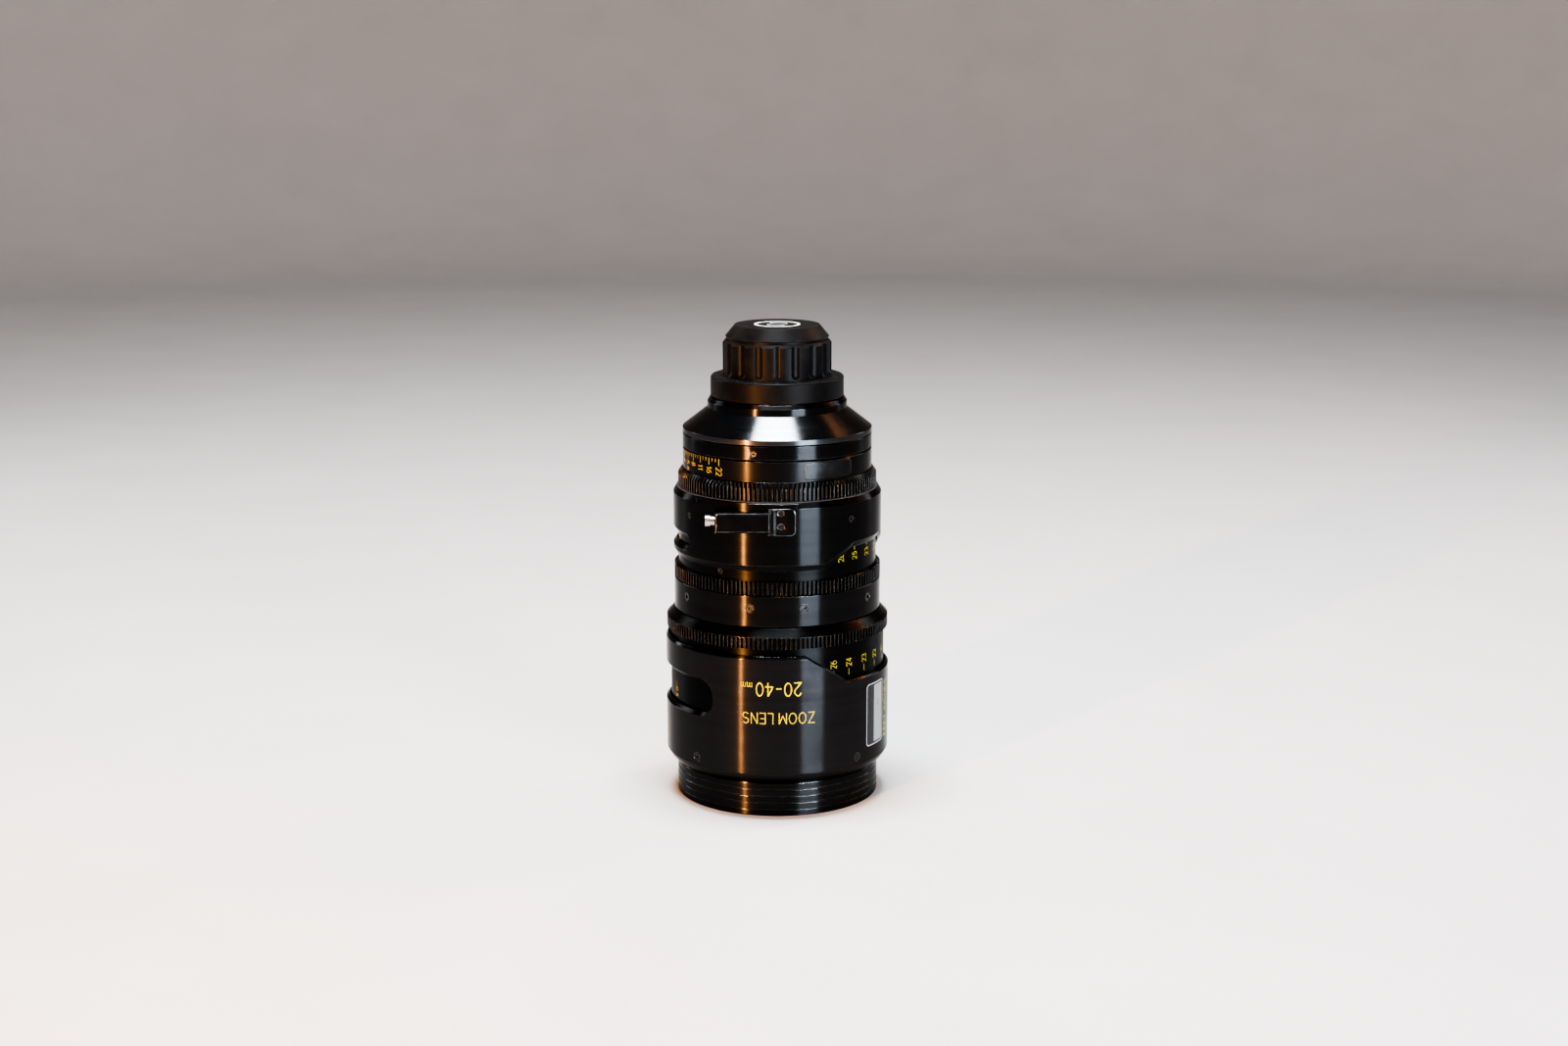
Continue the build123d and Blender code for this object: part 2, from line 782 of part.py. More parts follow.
def main_barrel():
    """Backbone of the front half: bore for the focus group, seats for cover and centre band."""
    bore = front_cell_radius + fixed_fit
    spigot_bore = front_spigot_radius + fixed_fit
    flange_radius = cover_inner - fixed_fit
    solid = turned(
        (spigot_bore, main_bottom),
        (flange_radius, main_bottom),
        (flange_radius, main_flange_top),
        (main_radius, main_flange_top),
        (main_radius, centre_bottom),
        (centre_seat_radius, centre_bottom),
        (centre_seat_radius, centre_top),
        (carrier_inner, centre_top),
        (carrier_inner, main_floor_top),
        (guide_radius + fixed_fit, main_floor_top),
        (guide_radius + fixed_fit, focus_bore_top),
        (focus_bore_radius, focus_bore_top),
        (focus_bore_radius, front_cell_top),
        (bore, front_cell_top),
        (bore, front_spigot_top),
        (spigot_bore, front_spigot_top),
    )
    slots = straight_slots(
        focus_pin_azimuths,
        focus_pin_z,
        focus_rate,
        focus_limits,
        focus_bore_radius - overcut,
        main_radius + overcut,
        2 * (focus_pin_radius + turning_fit),
    )
    screws = evenly(cover_screw_turn, cover_screw_count)
    holes = radial_holes(flat_head, screws, cover_radius, cover_bottom + cover_screw_height)
    return cut_all(solid, slots + holes + centre_screw_holes())


def cover_blank():
    """Turned shell of the cover, before its openings."""
    lip = front_radius + cover_lip_step
    bore = front_spigot_radius + fixed_fit
    round_top = cover_bottom + cover_round
    bulge_r = lip + (cover_radius - lip) * cover_round_side
    bulge_z = cover_bottom + cover_round * cover_round_rise
    bevel_start = cover_top - cover_bevel_height
    bevel_radius = cover_radius - cover_bevel_width
    edges = [
        Line((bore, 0, cover_bottom), (lip, 0, cover_bottom)),
        ThreePointArc((lip, 0, cover_bottom), (bulge_r, 0, bulge_z), (cover_radius, 0, round_top)),
        Polyline(
            (cover_radius, 0, round_top),
            (cover_radius, 0, bevel_start),
            (bevel_radius, 0, cover_top),
            (cover_inner, 0, cover_top),
            (cover_inner, 0, main_bottom),
            (bore, 0, main_bottom),
            (bore, 0, cover_bottom),
        ),
    ]
    return revolve(make_face(edges), Axis.Z)


def window_cutter(azimuth, half_turn, height, half_height, bevel, inner, outer):
    """Obround opening in a ring, its edge bevelled outwards, from one azimuth to the other."""
    radius = (inner + outer) / 2
    end_turn = math.degrees((half_height + bevel) / radius)
    arc = half_turn - end_turn
    slope = bevel / (outer - inner)
    wide = half_height + bevel + slope * overcut
    corners = (
        (inner - 2 * overcut, height - half_height),
        (inner, height - half_height),
        (outer + overcut, height - wide),
        (outer + overcut, height + wide),
        (inner, height + half_height),
        (inner - 2 * overcut, height + half_height),
    )
    cutter = sector(corners, azimuth - arc, 2 * arc)
    cone_height = outer - inner + overcut
    for end in (azimuth - arc, azimuth + arc):
        cone = Cone(half_height, wide, cone_height)
        cutter += radial_plane(end, inner + cone_height / 2, height) * cone
        cutter += radial_plane(end, inner - overcut, height) * Cylinder(half_height, 2 * overcut)
    return cutter


def notch_cutters():
    """Wide notch in the cover's top edge, with sloping ends, on the right reading side."""
    floor = cover_top - notch_depth
    low = cover_inner - overcut
    high = cover_radius + overcut
    slope_turn = notch_half_turn - notch_floor_half_turn
    corners = (
        (low, 0),
        (cover_radius - notch_bevel, 0),
        (high, -notch_bevel - overcut),
        (high, notch_depth + 2 * overcut),
        (low, notch_depth + 2 * overcut),
    )
    level = [(r, z + floor) for r, z in corners]
    first = notch_azimuth - notch_floor_half_turn
    last = notch_azimuth + notch_floor_half_turn
    return [
        sector(level, first, 2 * notch_floor_half_turn),
        ramp(corners, first, -slope_turn, floor, notch_depth),
        ramp(corners, last, slope_turn, floor, notch_depth),
    ]


def label_prism(clearance):
    """Radial prism of the label's outline."""
    plane = radial_plane(label_azimuth, focus_bore_radius, cover_bottom + label_bottom + label_height / 2)
    outline = RectangleRounded(
        label_width + 2 * clearance, label_height + 2 * clearance, label_corner + clearance
    )
    return plane * extrude(outline, cover_radius)


def label_plate():
    """Thin plate bent to the cover and let into it."""
    outer = cover_radius - label_recess + label_thickness
    ring = tube(cover_radius - label_recess, outer, cover_bottom, cover_top)
    return ring & label_prism(0)


def cover_shell():
    """Fixed cover round the focus scale, with a reading window and a reading notch."""
    window = window_cutter(
        window_azimuth,
        window_half_turn,
        cover_bottom + window_height,
        window_half_height,
        window_bevel,
        cover_inner,
        cover_radius,
    )
    screws = evenly(cover_screw_turn, cover_screw_count)
    holes = radial_holes(flat_head, screws, cover_radius, cover_bottom + cover_screw_height)
    recess_ring = tube(cover_radius - label_recess, cover_radius + overcut, cover_bottom, cover_top)
    recess = recess_ring & label_prism(label_fit)
    return cut_all(cover_blank(), [window, recess] + notch_cutters() + holes)


def cover_screws():
    screws = evenly(cover_screw_turn, cover_screw_count)
    return Compound(
        children=radial_screws(flat_head, screws, cover_radius, cover_bottom + cover_screw_height)
    )


def focus_ring():
    """Focus ring: gear, cone above it and the web that runs on the main barrel."""
    root_radius, tip_radius = gear_radii(focus_gear_teeth)
    seat = drum_spigot_radius + fixed_fit
    body = turned(
        (focus_cam_inner, focus_web_bottom),
        (seat, focus_web_bottom),
        (seat, focus_gear_bottom),
        (root_radius - gear_body_step, focus_gear_bottom),
        (root_radius - gear_body_step, focus_gear_top),
        (focus_rim_radius, focus_gear_top),
        (focus_cone_top_radius, focus_ring_top - edge_break),
        (focus_cone_top_radius - edge_break, focus_ring_top),
        (focus_cam_inner, focus_ring_top),
    )
    teeth = toothed_blank(focus_gear_teeth, focus_gear_bottom, focus_gear_height)
    core = root_radius - gear_body_step - gear_body_lap
    teeth -= Pos(0, 0, focus_gear_bottom) * Cylinder(core, 4 * focus_gear_height)
    return body + teeth


def focus_scale_drum():
    """Sleeve with the distance scale, seen through the cover's two openings."""
    return turned(
        (drum_inner, focus_gear_bottom - focus_drum_length),
        (focus_drum_radius, focus_gear_bottom - focus_drum_length),
        (focus_drum_radius, focus_gear_bottom),
        (drum_spigot_radius, focus_gear_bottom),
        (drum_spigot_radius, focus_web_bottom),
        (drum_inner, focus_web_bottom),
    )


def focus_cam_sleeve():
    """Sleeve under the drum whose slots drive the focus group."""
    bottom = focus_web_bottom - focus_cam_length
    sleeve = tube(focus_cam_inner, focus_cam_outer, bottom, focus_web_bottom)
    slots = cam_slots(
        focus_pin_azimuths,
        focus_pin_z,
        focus_rate,
        focus_limits,
        focus_cam_inner - overcut,
        focus_cam_outer + overcut,
        2 * (focus_pin_radius + turning_fit),
    )
    return cut_all(sleeve, slots)


def lens_cell(outer, glass_radius, bottom, top, glass_bottom, glass_top, lip):
    """Cell with a bore for its glass between two heights and a narrower throat beyond them."""
    throat = glass_radius - lip
    seat = glass_radius + fixed_fit
    return turned(
        (throat, bottom),
        (outer, bottom),
        (outer, top),
        (throat, top),
        (throat, glass_top),
        (seat, glass_top),
        (seat, glass_bottom),
        (throat, glass_bottom),
    )


def focus_cell():
    """Cell that slides in the main barrel with the two focusing elements."""
    bottom = focus_cell_bottom
    top = bottom + focus_cell_length
    glass_bottom = focus_glass_bottom()
    glass_top = glass_bottom + 2 * focus_glass_edge + focus_glass_space
    outer = focus_bore_radius - turning_fit
    cell = lens_cell(outer, focus_glass_radius, bottom, top, glass_bottom, glass_top, focus_cell_lip)
    middle = glass_bottom + focus_glass_edge
    spacer_inner = focus_glass_radius - focus_cell_lip
    spacer_outer = focus_glass_radius + focus_spacer_bite
    cell += tube(spacer_inner, spacer_outer, middle, middle + focus_glass_space)
    depth = focus_pin_depth + tip_clearance
    holes = [
        radial_plane(a, focus_bore_radius, focus_pin_z) * Cylinder(focus_pin_radius + fixed_fit, 2 * depth)
        for a in focus_pin_azimuths
    ]
    return cut_all(cell, holes)


def focus_glass_bottom():
    """Height of the first focusing element's edge."""
    return focus_cell_bottom + (focus_cell_length - 2 * focus_glass_edge - focus_glass_space) / 2


def focus_lens_front():
    bottom = focus_glass_bottom()
    return lens(focus_glass_radius, bottom, bottom + focus_glass_edge, *focus_front_bulges)


def focus_lens_rear():
    bottom = focus_glass_bottom() + focus_glass_edge + focus_glass_space
    return lens(focus_glass_radius, bottom, bottom + focus_glass_edge, *focus_rear_bulges)


def focus_followers():
    return follower_pins(
        focus_pin_azimuths,
        focus_pin_z,
        focus_pin_radius,
        focus_bore_radius - focus_pin_depth,
        focus_cam_outer - follower_inset,
    )


def centre_band():
    """Fixed band between the focus and zoom rings."""
    inner = centre_band_radius - centre_band_wall
    solid = band(inner, centre_band_radius, centre_bottom, centre_top)
    return cut_all(solid, centre_screw_holes())


def centre_screw_holes():
    height = centre_bottom + centre_screw_height
    return radial_holes(cap_head, centre_screw_azimuths, centre_band_radius, height, centre_screw_length)


def centre_band_screws():
    height = centre_bottom + centre_screw_height
    screws = radial_screws(cap_head, centre_screw_azimuths, centre_band_radius, height, centre_screw_length)
    return Compound(children=screws)


def guide_barrel():
    """Fixed inner tube whose straight slots guide the two zoom groups."""
    solid = tube(guide_bore_radius, guide_radius, guide_bottom, guide_top)
    inner = guide_bore_radius - overcut
    outer = guide_radius + overcut
    width = 2 * (zoom_pin_radius + turning_fit)
    slots = straight_slots(
        variator_pin_azimuths, variator_pin_z, variator_rate, zoom_limits, inner, outer, width
    )
    slots += straight_slots(
        compensator_pin_azimuths, compensator_pin_z, compensator_rate, zoom_limits, inner, outer, width
    )
    return cut_all(solid, slots)


def zoom_cam_tube():
    """Tube on the guide barrel whose two sets of slots drive the zoom groups apart."""
    solid = tube(cam_tube_inner, cam_tube_radius, cam_tube_bottom, cam_tube_top)
    inner = cam_tube_inner - overcut
    outer = cam_tube_radius + overcut
    width = 2 * (zoom_pin_radius + turning_fit)
    slots = cam_slots(
        variator_pin_azimuths, variator_pin_z, variator_rate, zoom_limits, inner, outer, width
    )
    slots += cam_slots(
        compensator_pin_azimuths, compensator_pin_z, compensator_rate, zoom_limits, inner, outer, width
    )
    return cut_all(solid, slots + zoom_screw_holes())


def zoom_ring():
    """Zoom ring: gear below, scale drum above, screwed to the cam tube by its web."""
    root_radius, tip_radius = gear_radii(zoom_gear_teeth)
    bore = cam_tube_radius + fixed_fit
    drum_inner_radius = zoom_drum_radius - zoom_drum_wall
    web_top = zoom_gear_top + zoom_web_height
    body = turned(
        (bore, zoom_bottom),
        (root_radius - gear_body_step, zoom_bottom),
        (root_radius - gear_body_step, zoom_gear_top),
        (zoom_drum_radius, zoom_gear_top),
        (zoom_drum_radius, zoom_top),
        (drum_inner_radius, zoom_top),
        (drum_inner_radius, web_top),
        (bore, web_top),
    )
    teeth = toothed_blank(zoom_gear_teeth, zoom_bottom, zoom_gear_height)
    core = root_radius - gear_body_step - gear_body_lap
    teeth -= Pos(0, 0, zoom_bottom) * Cylinder(core, 4 * zoom_gear_height)
    return cut_all(body + teeth, zoom_screw_holes())


def zoom_screw_holes():
    azimuths = evenly(zoom_screw_azimuth, zoom_screw_count)
    height = zoom_gear_top + zoom_screw_height
    return radial_holes(grub_head, azimuths, zoom_drum_radius, height, zoom_screw_length)


def zoom_ring_screws():
    azimuths = evenly(zoom_screw_azimuth, zoom_screw_count)
    height = zoom_gear_top + zoom_screw_height
    screws = radial_screws(grub_head, azimuths, zoom_drum_radius, height, zoom_screw_length)
    return Compound(children=screws)


def zoom_cell(pin_z, length, glass_radius, glass_edge, azimuths):
    """Cell that slides in the guide barrel, its glass in the middle."""
    outer = guide_bore_radius - turning_fit
    bottom = pin_z - length / 2
    top = pin_z + length / 2
    glass_bottom = pin_z - glass_edge / 2
    glass_top = pin_z + glass_edge / 2
    cell = lens_cell(outer, glass_radius, bottom, top, glass_bottom, glass_top, zoom_cell_lip)
    depth = outer - glass_radius - zoom_pin_seat
    holes = [
        radial_plane(a, outer, pin_z) * Cylinder(zoom_pin_radius + fixed_fit, 2 * depth)
        for a in azimuths
    ]
    return cut_all(cell, holes)


def variator_cell():
    return zoom_cell(
        variator_pin_z, variator_length, variator_glass_radius, variator_glass_edge, variator_pin_azimuths
    )


def variator_lens():
    half = variator_glass_edge / 2
    return lens(variator_glass_radius, variator_pin_z - half, variator_pin_z + half, *variator_bulges)


def compensator_cell():
    return zoom_cell(
        compensator_pin_z,
        compensator_length,
        compensator_glass_radius,
        compensator_glass_edge,
        compensator_pin_azimuths,
    )


def compensator_lens():
    half = compensator_glass_edge / 2
    low, high = compensator_pin_z - half, compensator_pin_z + half
    return lens(compensator_glass_radius, low, high, *compensator_bulges)


def zoom_followers(azimuths, pin_z, glass_radius):
    """Rollers that reach from a zoom cell through the guide barrel into the cam tube."""
    inner = glass_radius + zoom_pin_seat + tip_clearance
    return follower_pins(azimuths, pin_z, zoom_pin_radius, inner, cam_tube_radius - follower_inset)


def support_band():
    """Fixed band over the zoom scale, open below on the right and slotted on the left."""
    solid = turned(
        (support_inner, support_bottom),
        (support_radius, support_bottom + support_chamfer),
        (support_radius, support_top - edge_break),
        (support_radius - support_top_bevel, support_top),
        (support_inner, support_top),
    )
    slope = support_chamfer / support_wall
    corners = (
        (support_inner - overcut, -slope * overcut),
        (support_inner - overcut, -scale_gap_rise - 3 * overcut),
        (support_radius + overcut, -scale_gap_rise - 3 * overcut),
        (support_radius + overcut, support_chamfer + slope * overcut),
    )
    top = support_bottom + scale_gap_rise
    level = [(r, z + top) for r, z in corners]
    first = scale_gap_azimuth - scale_gap_floor_half_turn
    last = scale_gap_azimuth + scale_gap_floor_half_turn
    ramp_turn = scale_gap_half_turn - scale_gap_floor_half_turn
    solid -= sector(level, first, 2 * scale_gap_floor_half_turn)
    solid -= ramp(corners, first - ramp_turn, ramp_turn, support_bottom, scale_gap_rise)
    solid -= ramp(corners, last + ramp_turn, -ramp_turn, support_bottom, scale_gap_rise)
    solid -= window_cutter(
        scale_slot_azimuth,
        scale_slot_half_turn,
        support_bottom + scale_slot_height,
        scale_slot_half_height,
        scale_slot_bevel,
        support_inner,
        support_radius,
    )
    return cut_all(solid, top_reliefs() + support_screw_holes() + foot_screw_holes())


def top_reliefs():
    """Wide bevels along the band's top edge over the two scales, with round ends."""
    bottom = support_top - relief_height
    slope = relief_height / relief_width
    ring = turned(
        (support_radius - relief_width - overcut, support_top + overcut * slope),
        (support_radius + overcut, bottom - overcut * slope),
        (support_radius + overcut, support_top + overcut * slope),
    )
    end_turn = math.degrees(relief_tool_radius / support_radius)
    corners = box_corners(
        support_inner - overcut,
        support_radius + 2 * overcut,
        bottom - 2 * overcut * slope,
        support_top + 2 * overcut * slope,
    )
    cutters = []
    for azimuth, half_turn in (right_relief, left_relief):
        arc = half_turn - end_turn
        path = sector(corners, azimuth - arc, 2 * arc)
        for end in (azimuth - arc, azimuth + arc):
            path += radial_plane(end, support_radius, bottom) * Cylinder(relief_tool_radius, 4 * support_wall)
        cutters.append(ring & path)
    return cutters


def support_screw_holes():
    height = support_top - support_screw_drop
    azimuths = support_screw_azimuths
    return radial_holes(grub_head, azimuths, support_radius, height, support_screw_length)


def set_screws():
    """Identical set screws of the support band and of the rear barrel."""
    height = support_top - support_screw_drop
    group = radial_screws(
        grub_head, support_screw_azimuths, support_radius, height, support_screw_length
    )
    rear = evenly(rear_screw_azimuth, rear_screw_count)
    height = rear_barrel_bottom + rear_screw_height
    group += radial_screws(grub_head, rear, iris_scale_radius, height, support_screw_length)
    return Compound(children=group)


def rear_screw_holes():
    rear = evenly(rear_screw_azimuth, rear_screw_count)
    height = rear_barrel_bottom + rear_screw_height
    return radial_holes(grub_head, rear, iris_scale_radius, height, support_screw_length)


def block(left, right, face, bottom, top):
    """Block that stands on the support band, its flat face square to azimuth 0."""
    depth = support_radius
    width = right - left
    height = top - bottom
    centre = (left + width / 2, -face + depth / 2, bottom + height / 2)
    solid = Pos(*centre) * Box(width, depth, height)
    front = solid.faces().sort_by(Axis.Y)[0]
    return chamfer(front.edges(), connector_edge)


def foot_screw_places():
    """Planes of the two screws in the connector's foot, at the foot's face."""
    face = support_radius + connector_foot_face - head_sink
    top = support_top - foot_drop - foot_screw_drop
    heights = (top, top - foot_screw_spacing)
    return [
        Plane(origin=(foot_screw_offset, -face, height), x_dir=(1, 0, 0), z_dir=(0, -1, 0))
        for height in heights
    ]


def foot_screw_holes():
    length = foot_screw_length + tip_clearance
    return [place * screw_hole(small_head, length) for place in foot_screw_places()]


def connector_axis():
    """Plane at the mouth of the data socket, facing along -X."""
    top = support_top - connector_drop
    across = -(support_radius + connector_face - socket_inset)
    return Plane(
        origin=(connector_left - socket_length, across, top - connector_height / 2),
        x_dir=(0, 1, 0),
        z_dir=(-1, 0, 0),
    )


def connector_housing():
    """Housing of the data connector with its screwed foot, fitted to the band."""
    top = support_top - connector_drop
    foot_top = support_top - foot_drop
    foot_bottom = foot_top - foot_height
    solid = block(connector_left, connector_right, support_radius + connector_face, top - connector_height, top)
    inside = connector_right - 2 * connector_edge
    solid += block(inside, connector_step, support_radius + connector_step_face, foot_bottom, foot_top)
    middle = connector_step - 2 * connector_edge
    foot = Pos((middle + connector_foot_right) / 2, -(support_radius + connector_foot_face) / 2, 0)
    foot = foot * Pos(0, 0, foot_bottom + foot_height / 2)
    foot = foot * Box(connector_foot_right - middle, support_radius + connector_foot_face, foot_height)
    corners = foot.edges().filter_by(Axis.Y).sort_by(Axis.X)[-2:]
    solid += fillet(corners, foot_corner)
    solid -= Pos(0, 0, support_bottom) * Cylinder(support_radius + fixed_fit, 4 * support_height)
    solid = solid.solids().sort_by(Axis.Y)[0]
    seat = connector_axis() * Pos(0, 0, -socket_length - socket_seat / 2)
    solid -= seat * Cylinder(socket_neck_radius + fixed_fit, socket_seat)
    return cut_all(solid, foot_screw_holes())


def connector_socket():
    """Metal shell of the data socket: a neck in the housing, a wider collar round its mouth."""
    neck_length = socket_length + socket_seat
    well_bottom = socket_depth + contact_well_depth
    shell = Pos(0, 0, -socket_collar / 2) * Cylinder(socket_radius, socket_collar)
    shell += Pos(0, 0, -neck_length / 2) * Cylinder(socket_neck_radius, neck_length)
    shell -= Pos(0, 0, -socket_depth / 2) * Cylinder(socket_bore_radius, socket_depth)
    shell -= Pos(0, 0, -well_bottom / 2) * Cylinder(contact_well_radius, well_bottom)
    return connector_axis() * shell


def connector_contacts():
    """Contacts of the data socket, standing on the floor of its well."""
    middle = contact_length / 2 - socket_depth - contact_well_depth
    pins = []
    for azimuth in evenly(0, contact_count):
        place = Pos(*flat_point(contact_circle, azimuth), middle)
        pins.append(connector_axis() * place * Cylinder(contact_radius, contact_length))
    return Compound(children=pins)


def connector_screws():
    return Compound(children=[place * screw(small_head, foot_screw_length) for place in foot_screw_places()])


def rear_housing():
    """Backbone of the rear half: seat of the support band, bearing of the iris ring."""
    flange_top = support_top + ring_seam / 4
    guide_seat = guide_radius + fixed_fit
    solid = turned(
        (carrier_inner, rear_housing_bottom),
        (support_seat_radius, rear_housing_bottom),
        (support_seat_radius, flange_top),
        (rear_sleeve_radius, flange_top),
        (rear_sleeve_radius, cone_seat_top),
        (rear_bore_radius, cone_seat_top),
        (rear_bore_radius, guide_top),
        (guide_seat, guide_top),
        (guide_seat, rear_flange_bottom),
        (carrier_inner, rear_flange_bottom),
    )
    half = iris_pin_radius + iris_slot_clearance
    slot_turn = iris_limits[1] - iris_limits[0]
    corners = box_corners(
        rear_bore_radius - overcut,
        rear_sleeve_radius + overcut,
        drive_ring_middle - half,
        drive_ring_middle + half,
    )
    middle_radius = (rear_bore_radius + rear_sleeve_radius) / 2
    cutters = []
    for azimuth in iris_pin_azimuths:
        start = azimuth + iris_limits[0]
        cutters.append(sector(corners, start, slot_turn))
        for end in (start, start + slot_turn):
            plane = radial_plane(end, middle_radius, drive_ring_middle)
            cutters.append(plane * Cylinder(half, rear_sleeve_wall + 2 * overcut))
    cutters += rear_screw_holes() + support_screw_holes() + foot_screw_holes()
    return cut_all(solid, cutters)


def iris_plate_prism(clearance):
    """Radial prism of the plate let into the iris ring."""
    middle = iris_scale_bottom + iris_scale_height / 2
    plane = radial_plane(iris_plate_azimuth, rear_bore_radius / 2, middle)
    outline = RectangleRounded(
        iris_plate_width + 2 * clearance, iris_plate_height + 2 * clearance, iris_plate_corner + clearance
    )
    return plane * extrude(outline, iris_scale_radius)


def iris_ring():
    """Iris ring: gear with a chamfered crown below the scale."""
    root_radius, tip_radius = gear_radii(iris_gear_teeth)
    core = iris_bore_radius + gear_body_lap + gear_body_step
    crown = turned(
        (core, iris_bottom),
        (tip_radius, iris_bottom),
        (tip_radius, iris_gear_top),
        (iris_chamfer_radius, iris_scale_bottom),
        (core, iris_scale_bottom),
    )
    teeth = toothed_blank(iris_gear_teeth, iris_bottom, iris_gear_height + iris_chamfer_height) & crown
    body = turned(
        (iris_bore_radius, iris_bottom),
        (iris_scale_radius, iris_bottom),
        (iris_scale_radius, iris_top - edge_break),
        (iris_scale_radius - edge_break, iris_top),
        (iris_bore_radius, iris_top),
    )
    recess = tube(iris_scale_radius - iris_plate_recess, iris_scale_radius + overcut, iris_bottom, iris_top)
    solid = body + teeth - (recess & iris_plate_prism(label_fit))
    depth = 2 * (iris_pin_reach + label_fit)
    holes = [
        radial_plane(a, iris_bore_radius, drive_ring_middle) * Cylinder(iris_pin_radius + fixed_fit, depth)
        for a in iris_pin_azimuths
    ]
    return cut_all(solid, holes)


def iris_scale_plate():
    """Thin bare plate let into the iris ring beside its scale."""
    inner = iris_scale_radius - iris_plate_recess
    ring = tube(inner, inner + iris_plate_thickness, iris_bottom, iris_top)
    return ring & iris_plate_prism(0)


def iris_drive_pins():
    """Pins that carry the iris ring's turn through the rear housing to the drive ring."""
    return follower_pins(
        iris_pin_azimuths,
        drive_ring_middle,
        iris_pin_radius,
        rear_bore_radius - iris_pin_seat,
        iris_bore_radius + iris_pin_reach,
    )


def drive_pin_path(azimuth, ring_angle):
    """Where a blade's drive pin lies, seen from the drive ring, when the ring has turned."""
    pivot = flat_point(blade_pivot_radius, azimuth)
    pin = flat_point(blade_pivot_radius, azimuth + blade_drive_turn)
    turn = math.radians(ring_angle * blade_rate)
    dx, dy = pin[0] - pivot[0], pin[1] - pivot[1]
    x = pivot[0] + dx * math.cos(turn) - dy * math.sin(turn)
    y = pivot[1] + dx * math.sin(turn) + dy * math.cos(turn)
    back = math.radians(-ring_angle)
    return (x * math.cos(back) - y * math.sin(back), x * math.sin(back) + y * math.cos(back))


def drive_slot(azimuth):
    """Outline of the curved slot in which one blade's drive pin runs."""
    samples = 9
    half = blade_pin_radius + blade_slot_clearance
    low, high = iris_limits[0] - slot_overrun, iris_limits[1] + slot_overrun
    left, right = [], []
    for step in range(samples):
        angle = low + (high - low) * step / (samples - 1)
        x, y = drive_pin_path(azimuth, angle)
        ahead = drive_pin_path(azimuth, angle + 0.1)
        length = math.hypot(ahead[0] - x, ahead[1] - y)
        side = (-(ahead[1] - y) / length * half, (ahead[0] - x) / length * half)
        left.append((x + side[0], y + side[1]))
        right.append((x - side[0], y - side[1]))
    first = drive_pin_path(azimuth, low)
    last = drive_pin_path(azimuth, high)
    slot = make_face(
        [Spline(*left), Line(left[-1], right[-1]), Spline(*right), Line(right[0], left[0])]
    )
    return slot + Pos(*first) * Circle(half) + Pos(*last) * Circle(half)


def iris_base():
    """Fixed plate in which the blades pivot."""
    plate = tube(iris_base_aperture, rear_bore_radius - fixed_fit, iris_base_bottom, iris_base_top)
    for azimuth in evenly(0, blade_count):
        hole = Cylinder(blade_pin_radius + turning_fit, 4 * iris_base_height)
        plate -= Pos(*flat_point(blade_pivot_radius, azimuth), iris_base_top) * hole
    return plate


def iris_drive_ring():
    """Ring above the blades whose curved slots swing them."""
    outer = rear_bore_radius - turning_fit
    ring = tube(drive_ring_aperture, outer, drive_ring_bottom, drive_ring_top)
    for azimuth in evenly(0, blade_count):
        cutter = extrude(drive_slot(azimuth), drive_ring_height + 2 * overcut)
        ring -= Pos(0, 0, drive_ring_bottom - overcut) * cutter
    for azimuth in iris_pin_azimuths:
        plane = radial_plane(azimuth, outer, drive_ring_middle)
        ring -= plane * Cylinder(iris_pin_radius + fixed_fit, 2 * iris_pin_seat)
    return ring


def iris_blade(number):
    """One thin curved blade, with its pivot pin below and its drive pin above."""
    azimuth = 360 / blade_count * number
    bottom = blade_stack_bottom + number * blade_pitch
    top = bottom + blade_thickness
    outer = blade_outer_radius
    middle = blade_inner_radius + blade_width / 2
    ear_outer = blade_pivot_radius + blade_ear_half_width
    ear_turn = math.degrees(blade_ear_half_width / blade_pivot_radius)
    thin = Pos(0, 0, bottom + blade_thickness / 2)
    leaf = sector(box_corners(blade_inner_radius, outer, bottom, top), azimuth - blade_arc, blade_arc)
    leaf += thin * Pos(*flat_point(middle, azimuth - blade_arc), 0) * Cylinder(blade_width / 2, blade_thickness)
    ear = box_corners(middle, ear_outer, bottom, top)
    leaf += sector(ear, azimuth - ear_turn, blade_drive_turn + 2 * ear_turn)
    pivot_length = bottom - iris_base_bottom
    pivot = Pos(*flat_point(blade_pivot_radius, azimuth), iris_base_bottom + pivot_length / 2)
    leaf += pivot * Cylinder(blade_pin_radius, pivot_length)
    pin_length = drive_ring_top - iris_plate_gap - top
    pin = Pos(*flat_point(blade_pivot_radius, azimuth + blade_drive_turn), top + pin_length / 2)
    leaf += pin * Cylinder(blade_pin_radius, pin_length)
    return leaf


def rear_barrel():
    """Fixed ring behind the iris ring."""
    inner = rear_sleeve_radius + fixed_fit
    solid = band(inner, iris_scale_radius, rear_barrel_bottom, rear_barrel_top)
    return cut_all(solid, rear_screw_holes())


def rear_cone():
    """Conical cover that narrows from the barrel to the mount ring."""
    base_top = rear_barrel_top + cone_base_height
    inner = rear_sleeve_radius + fixed_fit
    return turned(
        (inner, rear_barrel_top),
        (iris_scale_radius - edge_break, rear_barrel_top),
        (iris_scale_radius, rear_barrel_top + edge_break),
        (iris_scale_radius, base_top),
        (mount_ring_radius, cone_top),
        (mount_spigot_radius, cone_top),
        (mount_spigot_radius, cone_top - mount_spigot_height),
        (mount_spigot_radius + cone_wall, cone_top - mount_spigot_height - cone_wall),
        (inner, cone_seat_top),
    )


